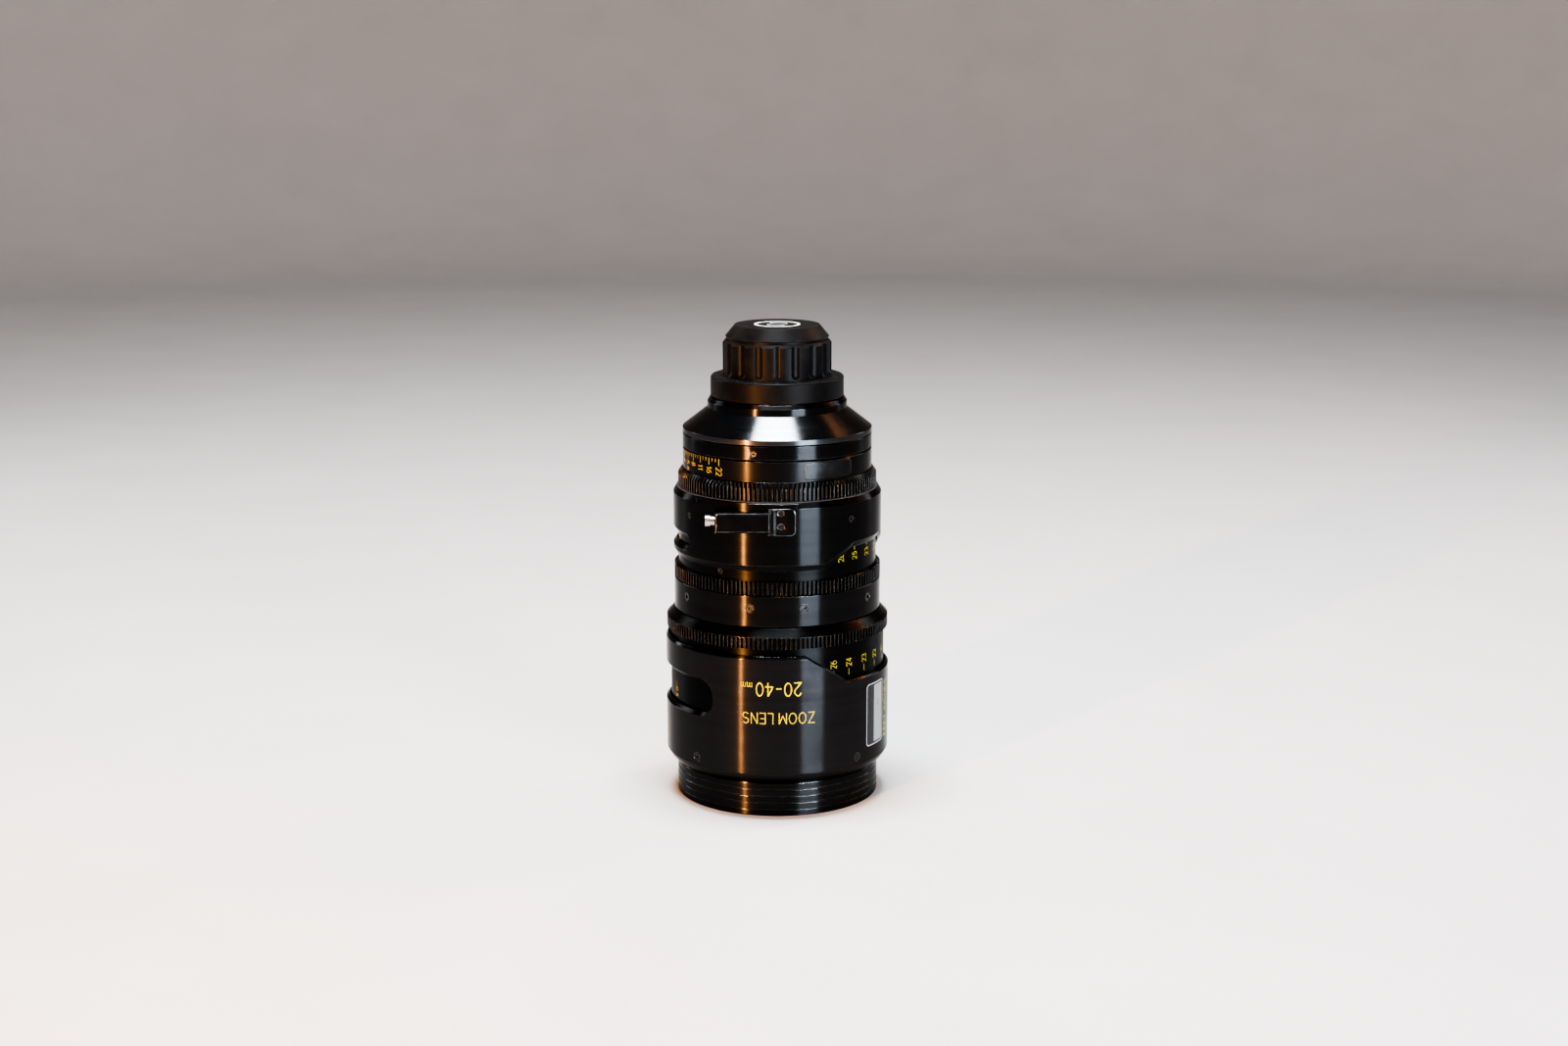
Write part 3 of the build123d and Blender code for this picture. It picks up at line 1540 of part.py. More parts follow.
def mount_ring():
    """Ring that carries the lens mount, with a spigot in the cone."""
    inner = mount_bore_radius
    solid = turned(
        (inner, cone_top - mount_spigot_height),
        (mount_spigot_radius - fixed_fit, cone_top - mount_spigot_height),
        (mount_spigot_radius - fixed_fit, cone_top),
        (mount_ring_radius, cone_top),
        (mount_ring_radius, mount_ring_top - mount_ring_bevel_height),
        (mount_ring_radius - mount_ring_bevel_width, mount_ring_top),
        (inner, mount_ring_top),
    )
    return cut_all(solid, mount_screw_holes())


def mount_shim():
    """Thin ring that sets the flange distance."""
    shim = tube(mount_bore_radius, mount_neck_radius, mount_ring_top, flange_bottom)
    return cut_all(shim, mount_screw_holes())


def mount_screw_places():
    """Planes of the mount's screws, in its flange's rear face."""
    places = []
    for azimuth in evenly(45, mount_lobe_count):
        x, y = flat_point(mount_screw_circle, azimuth)
        places.append(Plane(origin=(x, y, flange_top - head_sink), x_dir=(1, 0, 0), z_dir=(0, 0, 1)))
    return places


def mount_flange():
    """Flange with four lobes that the camera's locking ring clamps."""
    solid = tube(mount_bore_radius, mount_neck_radius, flange_bottom, lobe_bottom)
    solid += tube(mount_bore_radius, mount_disc_radius, lobe_bottom, flange_top)
    lobe = box_corners(mount_neck_radius - overcut, mount_lobe_radius, lobe_bottom, flange_top)
    for azimuth in evenly(0, mount_lobe_count):
        solid += sector(lobe, azimuth - mount_lobe_half_turn, 2 * mount_lobe_half_turn)
    slot_centre = mount_lobe_radius - mount_pin_slot_depth / 2 + overcut
    middle = (lobe_bottom + flange_top) / 2
    slot = Box(mount_pin_slot_width, 2 * mount_flange_height, mount_pin_slot_depth + 2 * overcut)
    solid -= radial_plane(0, slot_centre, middle) * slot
    return cut_all(solid, mount_screw_holes())


def mount_screw_holes():
    length = mount_screw_length + hidden_gap
    return [place * screw_hole(small_head, length) for place in mount_screw_places()]


def mount_screws():
    screws = [place * screw(small_head, mount_screw_length) for place in mount_screw_places()]
    return Compound(children=screws)


def mount_tube():
    """Tube of the mount that enters the camera's throat, its shoulder on the flange."""
    bottom = flange_bottom - mount_tube_root
    root_radius = mount_bore_radius - fixed_fit
    return turned(
        (mount_tube_bore, bottom),
        (root_radius, bottom),
        (root_radius, flange_top),
        (mount_tube_radius, flange_top),
        (mount_tube_radius, tube_top - edge_break),
        (mount_tube_radius - edge_break, tube_top),
        (mount_tube_bore, tube_top),
    )


def relay_cell():
    """Long cell of the fixed rear elements, flanged in the housing and seated in the mount tube."""
    seat = relay_glass_radius + fixed_fit
    throat = relay_glass_radius - relay_step
    glass_top = relay_flange_top + relay_glass_edge
    cone_end = relay_flange_top + relay_cone_height
    return turned(
        (seat, relay_flange_bottom),
        (rear_bore_radius - fixed_fit, relay_flange_bottom),
        (rear_bore_radius - fixed_fit, relay_flange_top),
        (relay_cell_radius + relay_cone_step, cone_end),
        (relay_cell_radius, cone_end),
        (relay_cell_radius, rear_cell_top),
        (seat, rear_cell_top),
        (seat, rear_glass_bottom),
        (throat, rear_glass_bottom),
        (throat, glass_top),
        (seat, glass_top),
    )


def relay_lens():
    return lens(relay_glass_radius, relay_flange_top, relay_flange_top + relay_glass_edge, *relay_bulges)


def rear_element():
    return lens(relay_glass_radius, rear_glass_bottom, rear_glass_top, *rear_glass_bulges)


def rear_retainer():
    """Threaded ring behind the last element."""
    low_slope, high_slope = rear_retainer_slopes
    return turned(
        (rear_retainer_aperture, rear_glass_top + rear_retainer_throat_height),
        (rear_retainer_aperture + low_slope, rear_glass_top),
        (relay_glass_radius, rear_glass_top),
        (relay_glass_radius, rear_cell_top),
        (rear_retainer_aperture + high_slope, rear_cell_top),
    )


def cap_body():
    """Turned body of the rear cap, hollow for the flange and the tube."""
    shoulder = flange_top + cap_shoulder_gap
    roof = cap_top - cap_roof
    round_start = cap_skirt_top - cap_skirt_round
    round_radius = cap_skirt_radius - cap_skirt_round
    corner = cap_skirt_round * math.sqrt(0.5)
    edges = [
        Polyline(
            (cap_skirt_bore, 0, cap_bottom),
            (cap_skirt_radius - edge_break, 0, cap_bottom),
            (cap_skirt_radius, 0, cap_bottom + edge_break),
            (cap_skirt_radius, 0, round_start),
        ),
        ThreePointArc(
            (cap_skirt_radius, 0, round_start),
            (round_radius + corner, 0, round_start + corner),
            (round_radius, 0, cap_skirt_top),
        ),
        Polyline(
            (round_radius, 0, cap_skirt_top),
            (cap_grip_radius, 0, cap_skirt_top),
            (cap_grip_radius, 0, cap_grip_top),
            (cap_top_radius, 0, cap_land_top),
            (cap_neck_radius, 0, cap_land_top),
            (cap_neck_radius, 0, cap_disc_bottom),
            (cap_top_radius, 0, cap_disc_bottom + edge_break),
            (cap_flat_radius, 0, cap_top),
            (0, 0, cap_top),
            (0, 0, roof),
            (cap_tube_bore, 0, roof),
            (cap_tube_bore, 0, shoulder),
            (cap_skirt_bore, 0, shoulder),
            (cap_skirt_bore, 0, cap_bottom),
        ),
    ]
    return revolve(make_face(edges), Axis.Z)


def flute_cutter():
    """Ball-nosed cutter of one finger flute, at azimuth 0."""
    out = cap_grip_radius - flute_depth + flute_radius
    start = cap_skirt_top + flute_start
    length = cap_disc_bottom - start
    cutter = Pos(0, -out, start + length / 2) * Cylinder(flute_radius, length)
    return cutter + Pos(0, -out, start) * Sphere(flute_radius)


def rear_cap():
    """Rear cap with a fluted grip and four bayonet tabs, shown in its open angle."""
    solid = cap_body()
    flute = flute_cutter()
    for azimuth in evenly(0, flute_count):
        solid -= Rot(0, 0, azimuth) * flute
    tab_bottom = cap_bottom + cap_tab_start
    tab_top = tab_bottom + cap_tab_height
    tab = box_corners(cap_skirt_bore - cap_tab_reach, cap_skirt_bore + cap_tab_root, tab_bottom, tab_top)
    for azimuth in evenly(45, mount_lobe_count):
        solid += sector(tab, azimuth - cap_tab_half_turn, 2 * cap_tab_half_turn)
    return solid


nodes = {
    "front_ring": front_ring(),
    "front_cell": front_cell(),
    "front_retainer": front_retainer(),
    "front_element": front_element(),
    "second_element": second_element(),
    "second_retainer": second_retainer(),
    "main_barrel": main_barrel(),
    "cover_shell": cover_shell(),
    "cover_screws": cover_screws(),
    "label_plate": label_plate(),
    "focus_ring": focus_ring(),
    "focus_scale_drum": focus_scale_drum(),
    "focus_cam_sleeve": focus_cam_sleeve(),
    "focus_cell": focus_cell(),
    "focus_lens_front": focus_lens_front(),
    "focus_lens_rear": focus_lens_rear(),
    "focus_followers": focus_followers(),
    "centre_band": centre_band(),
    "centre_band_screws": centre_band_screws(),
    "guide_barrel": guide_barrel(),
    "zoom_ring": zoom_ring(),
    "zoom_ring_screws": zoom_ring_screws(),
    "zoom_cam_tube": zoom_cam_tube(),
    "variator_cell": variator_cell(),
    "variator_lens": variator_lens(),
    "variator_followers": zoom_followers(variator_pin_azimuths, variator_pin_z, variator_glass_radius),
    "compensator_cell": compensator_cell(),
    "compensator_lens": compensator_lens(),
    "compensator_followers": zoom_followers(
        compensator_pin_azimuths, compensator_pin_z, compensator_glass_radius
    ),
    "support_band": support_band(),
    "set_screws": set_screws(),
    "connector_housing": connector_housing(),
    "connector_socket": connector_socket(),
    "connector_contacts": connector_contacts(),
    "connector_screws": connector_screws(),
    "rear_housing": rear_housing(),
    "iris_ring": iris_ring(),
    "iris_scale_plate": iris_scale_plate(),
    "iris_drive_pins": iris_drive_pins(),
    "iris_base": iris_base(),
    "iris_drive_ring": iris_drive_ring(),
    "rear_barrel": rear_barrel(),
    "rear_cone": rear_cone(),
    "mount_ring": mount_ring(),
    "mount_shim": mount_shim(),
    "mount_flange": mount_flange(),
    "mount_screws": mount_screws(),
    "mount_tube": mount_tube(),
    "relay_cell": relay_cell(),
    "relay_lens": relay_lens(),
    "rear_element": rear_element(),
    "rear_retainer": rear_retainer(),
    "rear_cap": rear_cap(),
}
for blade in range(blade_count):
    nodes[f"iris_blade_{blade + 1}"] = iris_blade(blade)

for name, shape in nodes.items():
    export_step(shape, f"parts/{name}.step")
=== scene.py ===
from math import atan2, ceil, cos, hypot, pi, radians, sin

import bpy
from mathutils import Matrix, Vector


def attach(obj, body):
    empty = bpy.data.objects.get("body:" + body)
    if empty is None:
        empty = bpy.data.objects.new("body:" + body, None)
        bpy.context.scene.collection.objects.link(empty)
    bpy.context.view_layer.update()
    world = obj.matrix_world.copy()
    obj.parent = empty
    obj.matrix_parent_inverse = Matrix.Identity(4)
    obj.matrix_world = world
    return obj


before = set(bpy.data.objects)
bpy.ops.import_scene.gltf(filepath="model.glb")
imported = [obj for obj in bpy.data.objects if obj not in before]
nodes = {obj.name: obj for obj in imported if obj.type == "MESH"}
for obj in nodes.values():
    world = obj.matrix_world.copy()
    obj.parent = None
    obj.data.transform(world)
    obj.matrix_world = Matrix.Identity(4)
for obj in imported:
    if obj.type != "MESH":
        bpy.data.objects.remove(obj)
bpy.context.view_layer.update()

scene = bpy.context.scene

# ---------------------------------------------------------------------------------------------
# Camera. A photographer's eye a little above the lens, which stands on its front rim with the
# side that is its top in use turned to the camera.
camera_place = (0.0038, -1.3233, 0.4339)
looking_down = 11.955
camera_data = bpy.data.cameras.new("camera")
camera_data.lens = 55.17
camera_data.sensor_width = 36.0
camera = bpy.data.objects.new("camera", camera_data)
camera.location = camera_place
camera.rotation_euler = (radians(90 - looking_down), 0, 0)
scene.collection.objects.link(camera)
scene.camera = camera
scene.view_settings.look = "AgX - High Contrast"


# ---------------------------------------------------------------------------------------------
# Studio floor. A wide round sheet of pale painted board, matt and very slightly mottled, that
# curves up into a low wall on every side.
def maths(tree, operation, *values):
    """One Math node: sockets are linked in, plain numbers are set. Gives its output."""
    node = tree.nodes.new("ShaderNodeMath")
    node.operation = operation
    for socket, value in zip(node.inputs, values):
        if isinstance(value, bpy.types.NodeSocket):
            tree.links.new(value, socket)
        else:
            socket.default_value = value
    return node.outputs[0]


def fade(tree, value, start, end, low=0.0, high=1.0):
    """Smooth change from low to high while value goes from start to end."""
    node = tree.nodes.new("ShaderNodeMapRange")
    node.interpolation_type = "SMOOTHSTEP"
    tree.links.new(value, node.inputs["Value"])
    for socket, number in zip(node.inputs[1:5], (start, end, low, high)):
        socket.default_value = number
    return node.outputs["Result"]


def tint(tree, mask, first, second):
    """Colour that goes from first to second where the mask is 1."""
    node = tree.nodes.new("ShaderNodeMix")
    node.data_type = "RGBA"
    tree.links.new(mask, node.inputs["Factor"])
    for socket, colour in ((node.inputs["A"], first), (node.inputs["B"], second)):
        if isinstance(colour, bpy.types.NodeSocket):
            tree.links.new(colour, socket)
        else:
            socket.default_value = (*colour, 1.0)
    return node.outputs["Result"]


def own_place(tree):
    """Place on the piece itself, in metres from the lens axis and the front rim."""
    return tree.nodes.new("ShaderNodeTexCoord").outputs["Object"]


def cloud(tree, place, size, detail=3.0, roughness=0.55):
    """Soft three-dimensional noise whose lumps are about that size in metres."""
    node = tree.nodes.new("ShaderNodeTexNoise")
    tree.links.new(place, node.inputs["Vector"])
    if isinstance(size, bpy.types.NodeSocket):
        tree.links.new(maths(tree, "DIVIDE", 1.0, size), node.inputs["Scale"])
    else:
        node.inputs["Scale"].default_value = 1.0 / size
    node.inputs["Detail"].default_value = detail
    node.inputs["Roughness"].default_value = roughness
    return node.outputs["Fac"]


def blank_material(name):
    """A new material: (material, its node tree, its Principled shader)."""
    material = bpy.data.materials.new(name)
    material.use_nodes = True
    return material, material.node_tree, material.node_tree.nodes["Principled BSDF"]


def link_bump(tree, shader, height, depth, rounded=None):
    """Relief of that depth in metres on the shader, over the rounded edges if they are given."""
    bump = tree.nodes.new("ShaderNodeBump")
    if rounded:
        tree.links.new(rounded, bump.inputs["Normal"])
    bump.inputs["Distance"].default_value = depth
    tree.links.new(height, bump.inputs["Height"])
    tree.links.new(bump.outputs["Normal"], shader.inputs["Normal"])


board_grey, board_pale = (0.40, 0.396, 0.388), (0.455, 0.451, 0.443)
mottle_size = 0.11
grit_size, grit_depth = 0.0011, 0.00012
floor_paint, tree, shader = blank_material("pale_board_paint")
mottle = cloud(tree, own_place(tree), mottle_size, detail=5.0)
tree.links.new(tint(tree, mottle, board_grey, board_pale), shader.inputs["Base Color"])
grit = cloud(tree, own_place(tree), grit_size, detail=2.0)
tree.links.new(fade(tree, grit, 0.3, 0.7, low=0.62, high=0.78), shader.inputs["Roughness"])
link_bump(tree, shader, grit, grit_depth)

floor_reach = 2.7
cove_radius = 1.3
wall_top = 3.4
board_drop = 0.0001
sides = 96
rings = [(0.4, 0), (1.0, 0), (1.8, 0), (floor_reach, 0)]
for angle in range(6, 91, 6):
    rise = radians(angle)
    rings.append((floor_reach + cove_radius * sin(rise), cove_radius * (1 - cos(rise))))
rings.append((floor_reach + cove_radius, wall_top))
spokes = [2 * pi * i / sides for i in range(sides)]
floor_points = [(reach * cos(a), reach * sin(a), up) for reach, up in rings for a in spokes]
floor_faces = [tuple(range(sides))]
for inner in range(0, (len(rings) - 1) * sides, sides):
    outer = inner + sides
    for i in range(sides):
        j = (i + 1) % sides
        floor_faces.append((inner + i, outer + i, outer + j, inner + j))
floor_mesh = bpy.data.meshes.new("studio_floor")
floor_mesh.from_pydata(floor_points, [], floor_faces)
floor_mesh.update()
floor_mesh.shade_smooth()
floor_mesh.materials.append(floor_paint)
floor = bpy.data.objects.new("studio_floor", floor_mesh)
floor.location.z = -board_drop
scene.collection.objects.link(floor)


# ---------------------------------------------------------------------------------------------
# Studio light. A dim pale room, a narrow warm softbox left of the camera and a wide cool one
# right of it, which draw the two upright streaks on the turned metal, a long soft panel
# overhead, two rim panels behind and a thin warm strip high at the back right.
room_colour = (0.80, 0.91, 1.0, 1.0)
room_strength = 0.20
room = bpy.data.worlds.new("pale_room")
room.use_nodes = True
room.node_tree.nodes["Background"].inputs["Color"].default_value = room_colour
room.node_tree.nodes["Background"].inputs["Strength"].default_value = room_strength
scene.world = room


def softbox(name, azimuth, distance, height, width, tall, watts, colour, aim=0.13, aside=0.0):
    """Rectangular soft light, in metres, turned to the lens axis at height aim. Azimuth 0 is the
    camera's side, and + its right; aside then slides the light along x."""
    data = bpy.data.lights.new(name, "AREA")
    data.shape = "RECTANGLE"
    data.size = width
    data.size_y = tall
    data.energy = watts
    data.color = colour
    lamp = bpy.data.objects.new(name, data)
    turn = radians(azimuth)
    lamp.location = (distance * sin(turn), -distance * cos(turn), height)
    reach = Vector((0, 0, aim)) - lamp.location
    lamp.rotation_euler = reach.to_track_quat("-Z", "Y").to_euler()
    lamp.location.x += aside
    lamp.visible_camera = False
    scene.collection.objects.link(lamp)


softbox("warm_strip", azimuth=-36, distance=1.5, height=0.31, width=0.03, tall=0.6, watts=80,
        colour=(1.0, 0.42, 0.13), aim=0.31)
softbox("cool_panel", azimuth=35, distance=1.6, height=0.31, width=0.60, tall=0.6, watts=66,
        colour=(0.74, 0.87, 1.0), aim=0.31)
softbox("warm_back", azimuth=120, distance=1.1, height=1.15, width=0.025, tall=0.5, watts=7,
        colour=(1.0, 0.42, 0.14), aim=0.2)
for name, azimuth in (("left_rim", -122), ("right_rim", 122)):
    softbox(name, azimuth, distance=1.5, height=0.72, width=0.20, tall=1.1, watts=7,
            colour=(0.95, 0.97, 1.0), aim=0.72)
softbox("overhead", azimuth=0, distance=0.02, height=1.6, width=0.66, tall=0.30, watts=88,
        colour=(0.90, 0.95, 1.0), aside=-0.04)


# ---------------------------------------------------------------------------------------------
# Front ring. Turned from aluminium bar, finely grooved outside, then black anodised; it screws
# on to the front cell. Its rim has lost a little black where the lens is stood on it.
def new_group(name, inputs, outputs, normals=()):
    """Node group with named number sockets: (group, its inside inputs, its inside outputs)."""
    group = bpy.data.node_groups.new(name, "ShaderNodeTree")
    sockets = group.interface
    for label, value in inputs:
        socket = sockets.new_socket(label, in_out="INPUT", socket_type="NodeSocketFloat")
        socket.default_value = value
    for label in outputs:
        sockets.new_socket(label, in_out="OUTPUT", socket_type="NodeSocketFloat")
    for label in normals:
        sockets.new_socket(label, in_out="OUTPUT", socket_type="NodeSocketVector")
    inside, outside = group.nodes.new("NodeGroupInput"), group.nodes.new("NodeGroupOutput")
    return group, inside.outputs, outside.inputs


def radius_and_height(tree):
    """Distance from the lens axis and height above the front rim, in metres."""
    parts = tree.nodes.new("ShaderNodeSeparateXYZ")
    tree.links.new(own_place(tree), parts.inputs[0])
    x, y, z = parts.outputs
    square = maths(tree, "ADD", maths(tree, "MULTIPLY", x, x), maths(tree, "MULTIPLY", y, y))
    return maths(tree, "SQRT", square), z


# Fine rings that the lathe tool leaves, and slower bands between its cuts. The radius counts
# too, so that a face cut square to the axis has its rings as well.
radius_share = 0.73
turning_marks, given, result = new_group(
    "turning_marks", inputs=[("Pitch", 0.0003)], outputs=["Height", "Band"])
radius, height = radius_and_height(turning_marks)
slant = maths(turning_marks, "MULTIPLY", radius, radius_share)
along = maths(turning_marks, "ADD", height, slant)
for label, rings_per_pitch, detail in (("Height", 1.0, 3.0), ("Band", 0.06, 2.0)):
    cuts = turning_marks.nodes.new("ShaderNodeTexNoise")
    cuts.noise_dimensions = "1D"
    cuts.inputs["Scale"].default_value = rings_per_pitch
    cuts.inputs["Detail"].default_value = detail
    cuts.inputs["Roughness"].default_value = 0.7
    turning_marks.links.new(maths(turning_marks, "DIVIDE", along, given["Pitch"]), cuts.inputs["W"])
    turning_marks.links.new(cuts.outputs["Fac"], result[label])

# Outer edges that have lost their black, in patches, and the small round that every edge has.
# Wear starts where the rounded normal leans about 6 degrees from the face's and is full at 26,
# given as cosines. An inner corner is kept out by its shade, because only open edges are rubbed.
edge_samples = 6
lean_start, lean_full = 0.995, 0.90
open_start, open_full = 0.80, 0.97
edge_wear, given, result = new_group(
    "edge_wear", inputs=[("Width", 0.0003), ("Patch", 0.006)], outputs=["Wear"],
    normals=["Rounded"])
rounded = edge_wear.nodes.new("ShaderNodeBevel")
rounded.samples = edge_samples
edge_wear.links.new(given["Width"], rounded.inputs["Radius"])
edge_wear.links.new(rounded.outputs[0], result["Rounded"])
facing = edge_wear.nodes.new("ShaderNodeNewGeometry")
agree = edge_wear.nodes.new("ShaderNodeVectorMath")
agree.operation = "DOT_PRODUCT"
edge_wear.links.new(rounded.outputs[0], agree.inputs[0])
edge_wear.links.new(facing.outputs["Normal"], agree.inputs[1])
bend = fade(edge_wear, agree.outputs["Value"], lean_start, lean_full)
shade = edge_wear.nodes.new("ShaderNodeAmbientOcclusion")
shade.samples = edge_samples
edge_wear.links.new(maths(edge_wear, "MULTIPLY", given["Width"], 3.0), shade.inputs["Distance"])
outer = fade(edge_wear, shade.outputs["AO"], open_start, open_full)
rubbed = cloud(edge_wear, own_place(edge_wear), given["Patch"], detail=4.0)
patches = fade(edge_wear, rubbed, 0.35, 0.62, low=0.35, high=1.0)
worn = maths(edge_wear, "MULTIPLY", maths(edge_wear, "MULTIPLY", bend, outer), patches)
edge_wear.links.new(worn, result["Wear"])

# Where hands have left the finish a little smoother or duller
handling, given, result = new_group("handling", inputs=[("Size", 0.03)], outputs=["Smudge"])
blotch = cloud(handling, own_place(handling), given["Size"], detail=5.0, roughness=0.62)
handling.links.new(fade(handling, blotch, 0.36, 0.66), result["Smudge"])

# Fine dust that has settled on faces that look up
speck_size, haze_size = 0.0009, 0.014
settled_dust, given, result = new_group(
    "settled_dust", inputs=[("Amount", 0.1)], outputs=["Dust"])
lie = settled_dust.nodes.new("ShaderNodeSeparateXYZ")
level = settled_dust.nodes.new("ShaderNodeNewGeometry")
settled_dust.links.new(level.outputs["Normal"], lie.inputs[0])
upward_face = fade(settled_dust, lie.outputs["Z"], 0.45, 0.95)
specks = cloud(settled_dust, own_place(settled_dust), speck_size, roughness=0.7)
specks = fade(settled_dust, specks, 0.50, 0.72)
haze = cloud(settled_dust, own_place(settled_dust), haze_size)
haze = fade(settled_dust, haze, 0.3, 0.75, low=0.15, high=0.6)
lying = maths(settled_dust, "MULTIPLY", upward_face, maths(settled_dust, "MAXIMUM", specks, haze))
settled_dust.links.new(maths(settled_dust, "MULTIPLY", lying, given["Amount"]), result["Dust"])


def place_group(tree, group, **values):
    """A node group in a material, with this material's own values. Gives its outputs."""
    node = tree.nodes.new("ShaderNodeGroup")
    node.node_tree = group
    for label, value in values.items():
        node.inputs[label].default_value = value
    return node.outputs


def scaled(colour, share):
    """The colour at that share of its strength."""
    return tuple(part * share for part in colour)


def between(tree, mask, low, high):
    """Smooth change from low to high as the mask goes from 0 to 1."""
    return fade(tree, mask, 0.0, 1.0, low, high)


bare_aluminium = (0.46, 0.45, 0.44)
pale_dust = (0.12, 0.115, 0.11)
thin_dust = 0.05
glancing_tint = (0.6, 0.6, 0.6, 1.0)


def worn_through(tree, worn, share, colour, under):
    """Colour of a finish that shows what is under it at that share of its worn edges."""
    return tint(tree, maths(tree, "MULTIPLY", worn, share), colour, under)


def dusty_metal(tree, shader, lying, colour):
    """Dyed metal under a little dust, which is pale and hides the metal."""
    tree.links.new(tint(tree, lying, colour, pale_dust), shader.inputs["Base Color"])
    hiding = maths(tree, "MULTIPLY", lying, 0.8)
    tree.links.new(maths(tree, "SUBTRACT", 1.0, hiding), shader.inputs["Metallic"])


def turned_sheen(tree, shader, amount):
    """Gloss that the lathe's rings stretch, so that a light draws an upright streak."""
    shader.inputs["Anisotropic"].default_value = amount
    shader.inputs["Anisotropic Rotation"].default_value = 0.25
    lay = tree.nodes.new("ShaderNodeTangent")
    lay.direction_type = "RADIAL"
    lay.axis = "Z"
    tree.links.new(lay.outputs[0], shader.inputs["Tangent"])


def black_anodised(name, tone, gloss, pitch=0.0003, cut=0.000003, wear=0.5, edge=0.00028,
                   streak=1.0):
    """Black dyed oxide over turned aluminium. gloss is its roughness, pitch and cut the width
    and depth of the lathe's rings, wear how bare its edges are and edge how round, in metres."""
    material, tree, shader = blank_material(name)
    marks = place_group(tree, turning_marks, Pitch=pitch)
    edges = place_group(tree, edge_wear, Width=edge, Patch=0.007)
    smudge = place_group(tree, handling, Size=0.028)["Smudge"]
    lying = place_group(tree, settled_dust, Amount=thin_dust)["Dust"]
    colour = tint(tree, marks["Band"], scaled(tone, 0.40), scaled(tone, 0.60))
    colour = worn_through(tree, edges["Wear"], wear, colour, bare_aluminium)
    dusty_metal(tree, shader, lying, colour)
    rough = fade(tree, marks["Height"], 0.3, 0.7, gloss - 0.025, gloss + 0.025)
    rough = maths(tree, "ADD", rough, maths(tree, "MULTIPLY", smudge, 0.05))
    rough = maths(tree, "ADD", rough, maths(tree, "MULTIPLY", lying, 0.5))
    tree.links.new(rough, shader.inputs["Roughness"])
    shader.inputs["Specular Tint"].default_value = glancing_tint
    turned_sheen(tree, shader, streak)
    link_bump(tree, shader, marks["Height"], cut, edges["Rounded"])
    return material


def finish_node(material, *names):
    """Puts the material on these CAD nodes."""
    for name in names:
        for slot in nodes[name].material_slots:
            slot.material = material


finish_node(black_anodised("front_ring_black", (0.022, 0.022, 0.0225), gloss=0.22, pitch=0.00042,
                           wear=0.55, edge=0.00035), "front_ring")


# ---------------------------------------------------------------------------------------------
# Front cell, its glasses and retainers. Turned aluminium, blasted and dyed matt black against
# stray light. Screwed retainers hold two ground optical glasses, coated violet and green.
def matt_black(name, tone=0.020, rough=0.62, wear=0.25):
    """Bead-blasted and black anodised inside parts, with faint turning left under the blast."""
    material, tree, shader = blank_material(name)
    marks = place_group(tree, turning_marks, Pitch=0.0005)
    worn = place_group(tree, edge_wear, Width=0.00022, Patch=0.005)["Wear"]
    smudge = place_group(tree, handling, Size=0.02)["Smudge"]
    darker, lighter = (tone * 0.8,) * 3, (tone * 1.2, tone * 1.2, tone * 1.25)
    colour = tint(tree, marks["Band"], darker, lighter)
    colour = worn_through(tree, worn, wear, colour, bare_aluminium)
    tree.links.new(colour, shader.inputs["Base Color"])
    tree.links.new(between(tree, smudge, rough - 0.05, rough + 0.06), shader.inputs["Roughness"])
    tree.links.new(fade(tree, worn, 0.2, 0.8, low=0.15, high=0.9), shader.inputs["Metallic"])
    blast = cloud(tree, own_place(tree), 0.00012, detail=2.0, roughness=0.6)
    link_bump(tree, shader, blast, depth=0.000010)
    return material


def coated_glass(name, coating):
    """Polished optical glass: clear, with a coloured coating and a trace of dust."""
    material, tree, shader = blank_material(name)
    shader.inputs["Base Color"].default_value = (0.97, 0.985, 1.0, 1.0)
    shader.inputs["Metallic"].default_value = 0.0
    shader.inputs["Transmission Weight"].default_value = 1.0
    shader.inputs["IOR"].default_value = 1.58
    shader.inputs["Specular Tint"].default_value = (*coating, 1.0)
    specks = fade(tree, cloud(tree, own_place(tree), 0.0007, roughness=0.7), 0.62, 0.74)
    wipe = cloud(tree, own_place(tree), 0.013, detail=4.0)
    wipe = fade(tree, wipe, 0.4, 0.7, low=0.0, high=0.02)
    rough = maths(tree, "ADD", maths(tree, "MULTIPLY", specks, thin_dust), wipe)
    tree.links.new(rough, shader.inputs["Roughness"])
    return material


finish_node(matt_black("front_cell_matt"), "front_cell", "front_retainer", "second_retainer")
finish_node(coated_glass("front_glass_coated", (0.78, 0.62, 1.0)), "front_element")
finish_node(coated_glass("second_glass_coated", (0.70, 0.95, 0.80)), "second_element")


# ---------------------------------------------------------------------------------------------
# Main barrel. The backbone that everything in front is screwed to, turned from aluminium and
# black anodised; only its flange shows, as a dark step under the cover.
finish_node(black_anodised("main_barrel_black", (0.020, 0.020, 0.0205), gloss=0.33, wear=0.3),
            "main_barrel")


# ---------------------------------------------------------------------------------------------
# Cover. A black anodised aluminium sleeve over the focus scale, screwed to the main barrel, with
# a bevelled window and notch milled through it for reading. Its words are cut with a round
# cutter and filled with yellow paint; they are upside down, as the lens stands on its front.
finish_node(black_anodised("cover_black", (0.033, 0.0323, 0.033), gloss=0.17, pitch=0.00026,
                           wear=0.4, edge=0.00032), "cover_shell")

# Lettering is laid out in millimetres, and its points are divided by 1000 for Blender
cover_radius = 63.0
letter_height = 6
letter_squeeze = 0.71
word_gap = 2.4


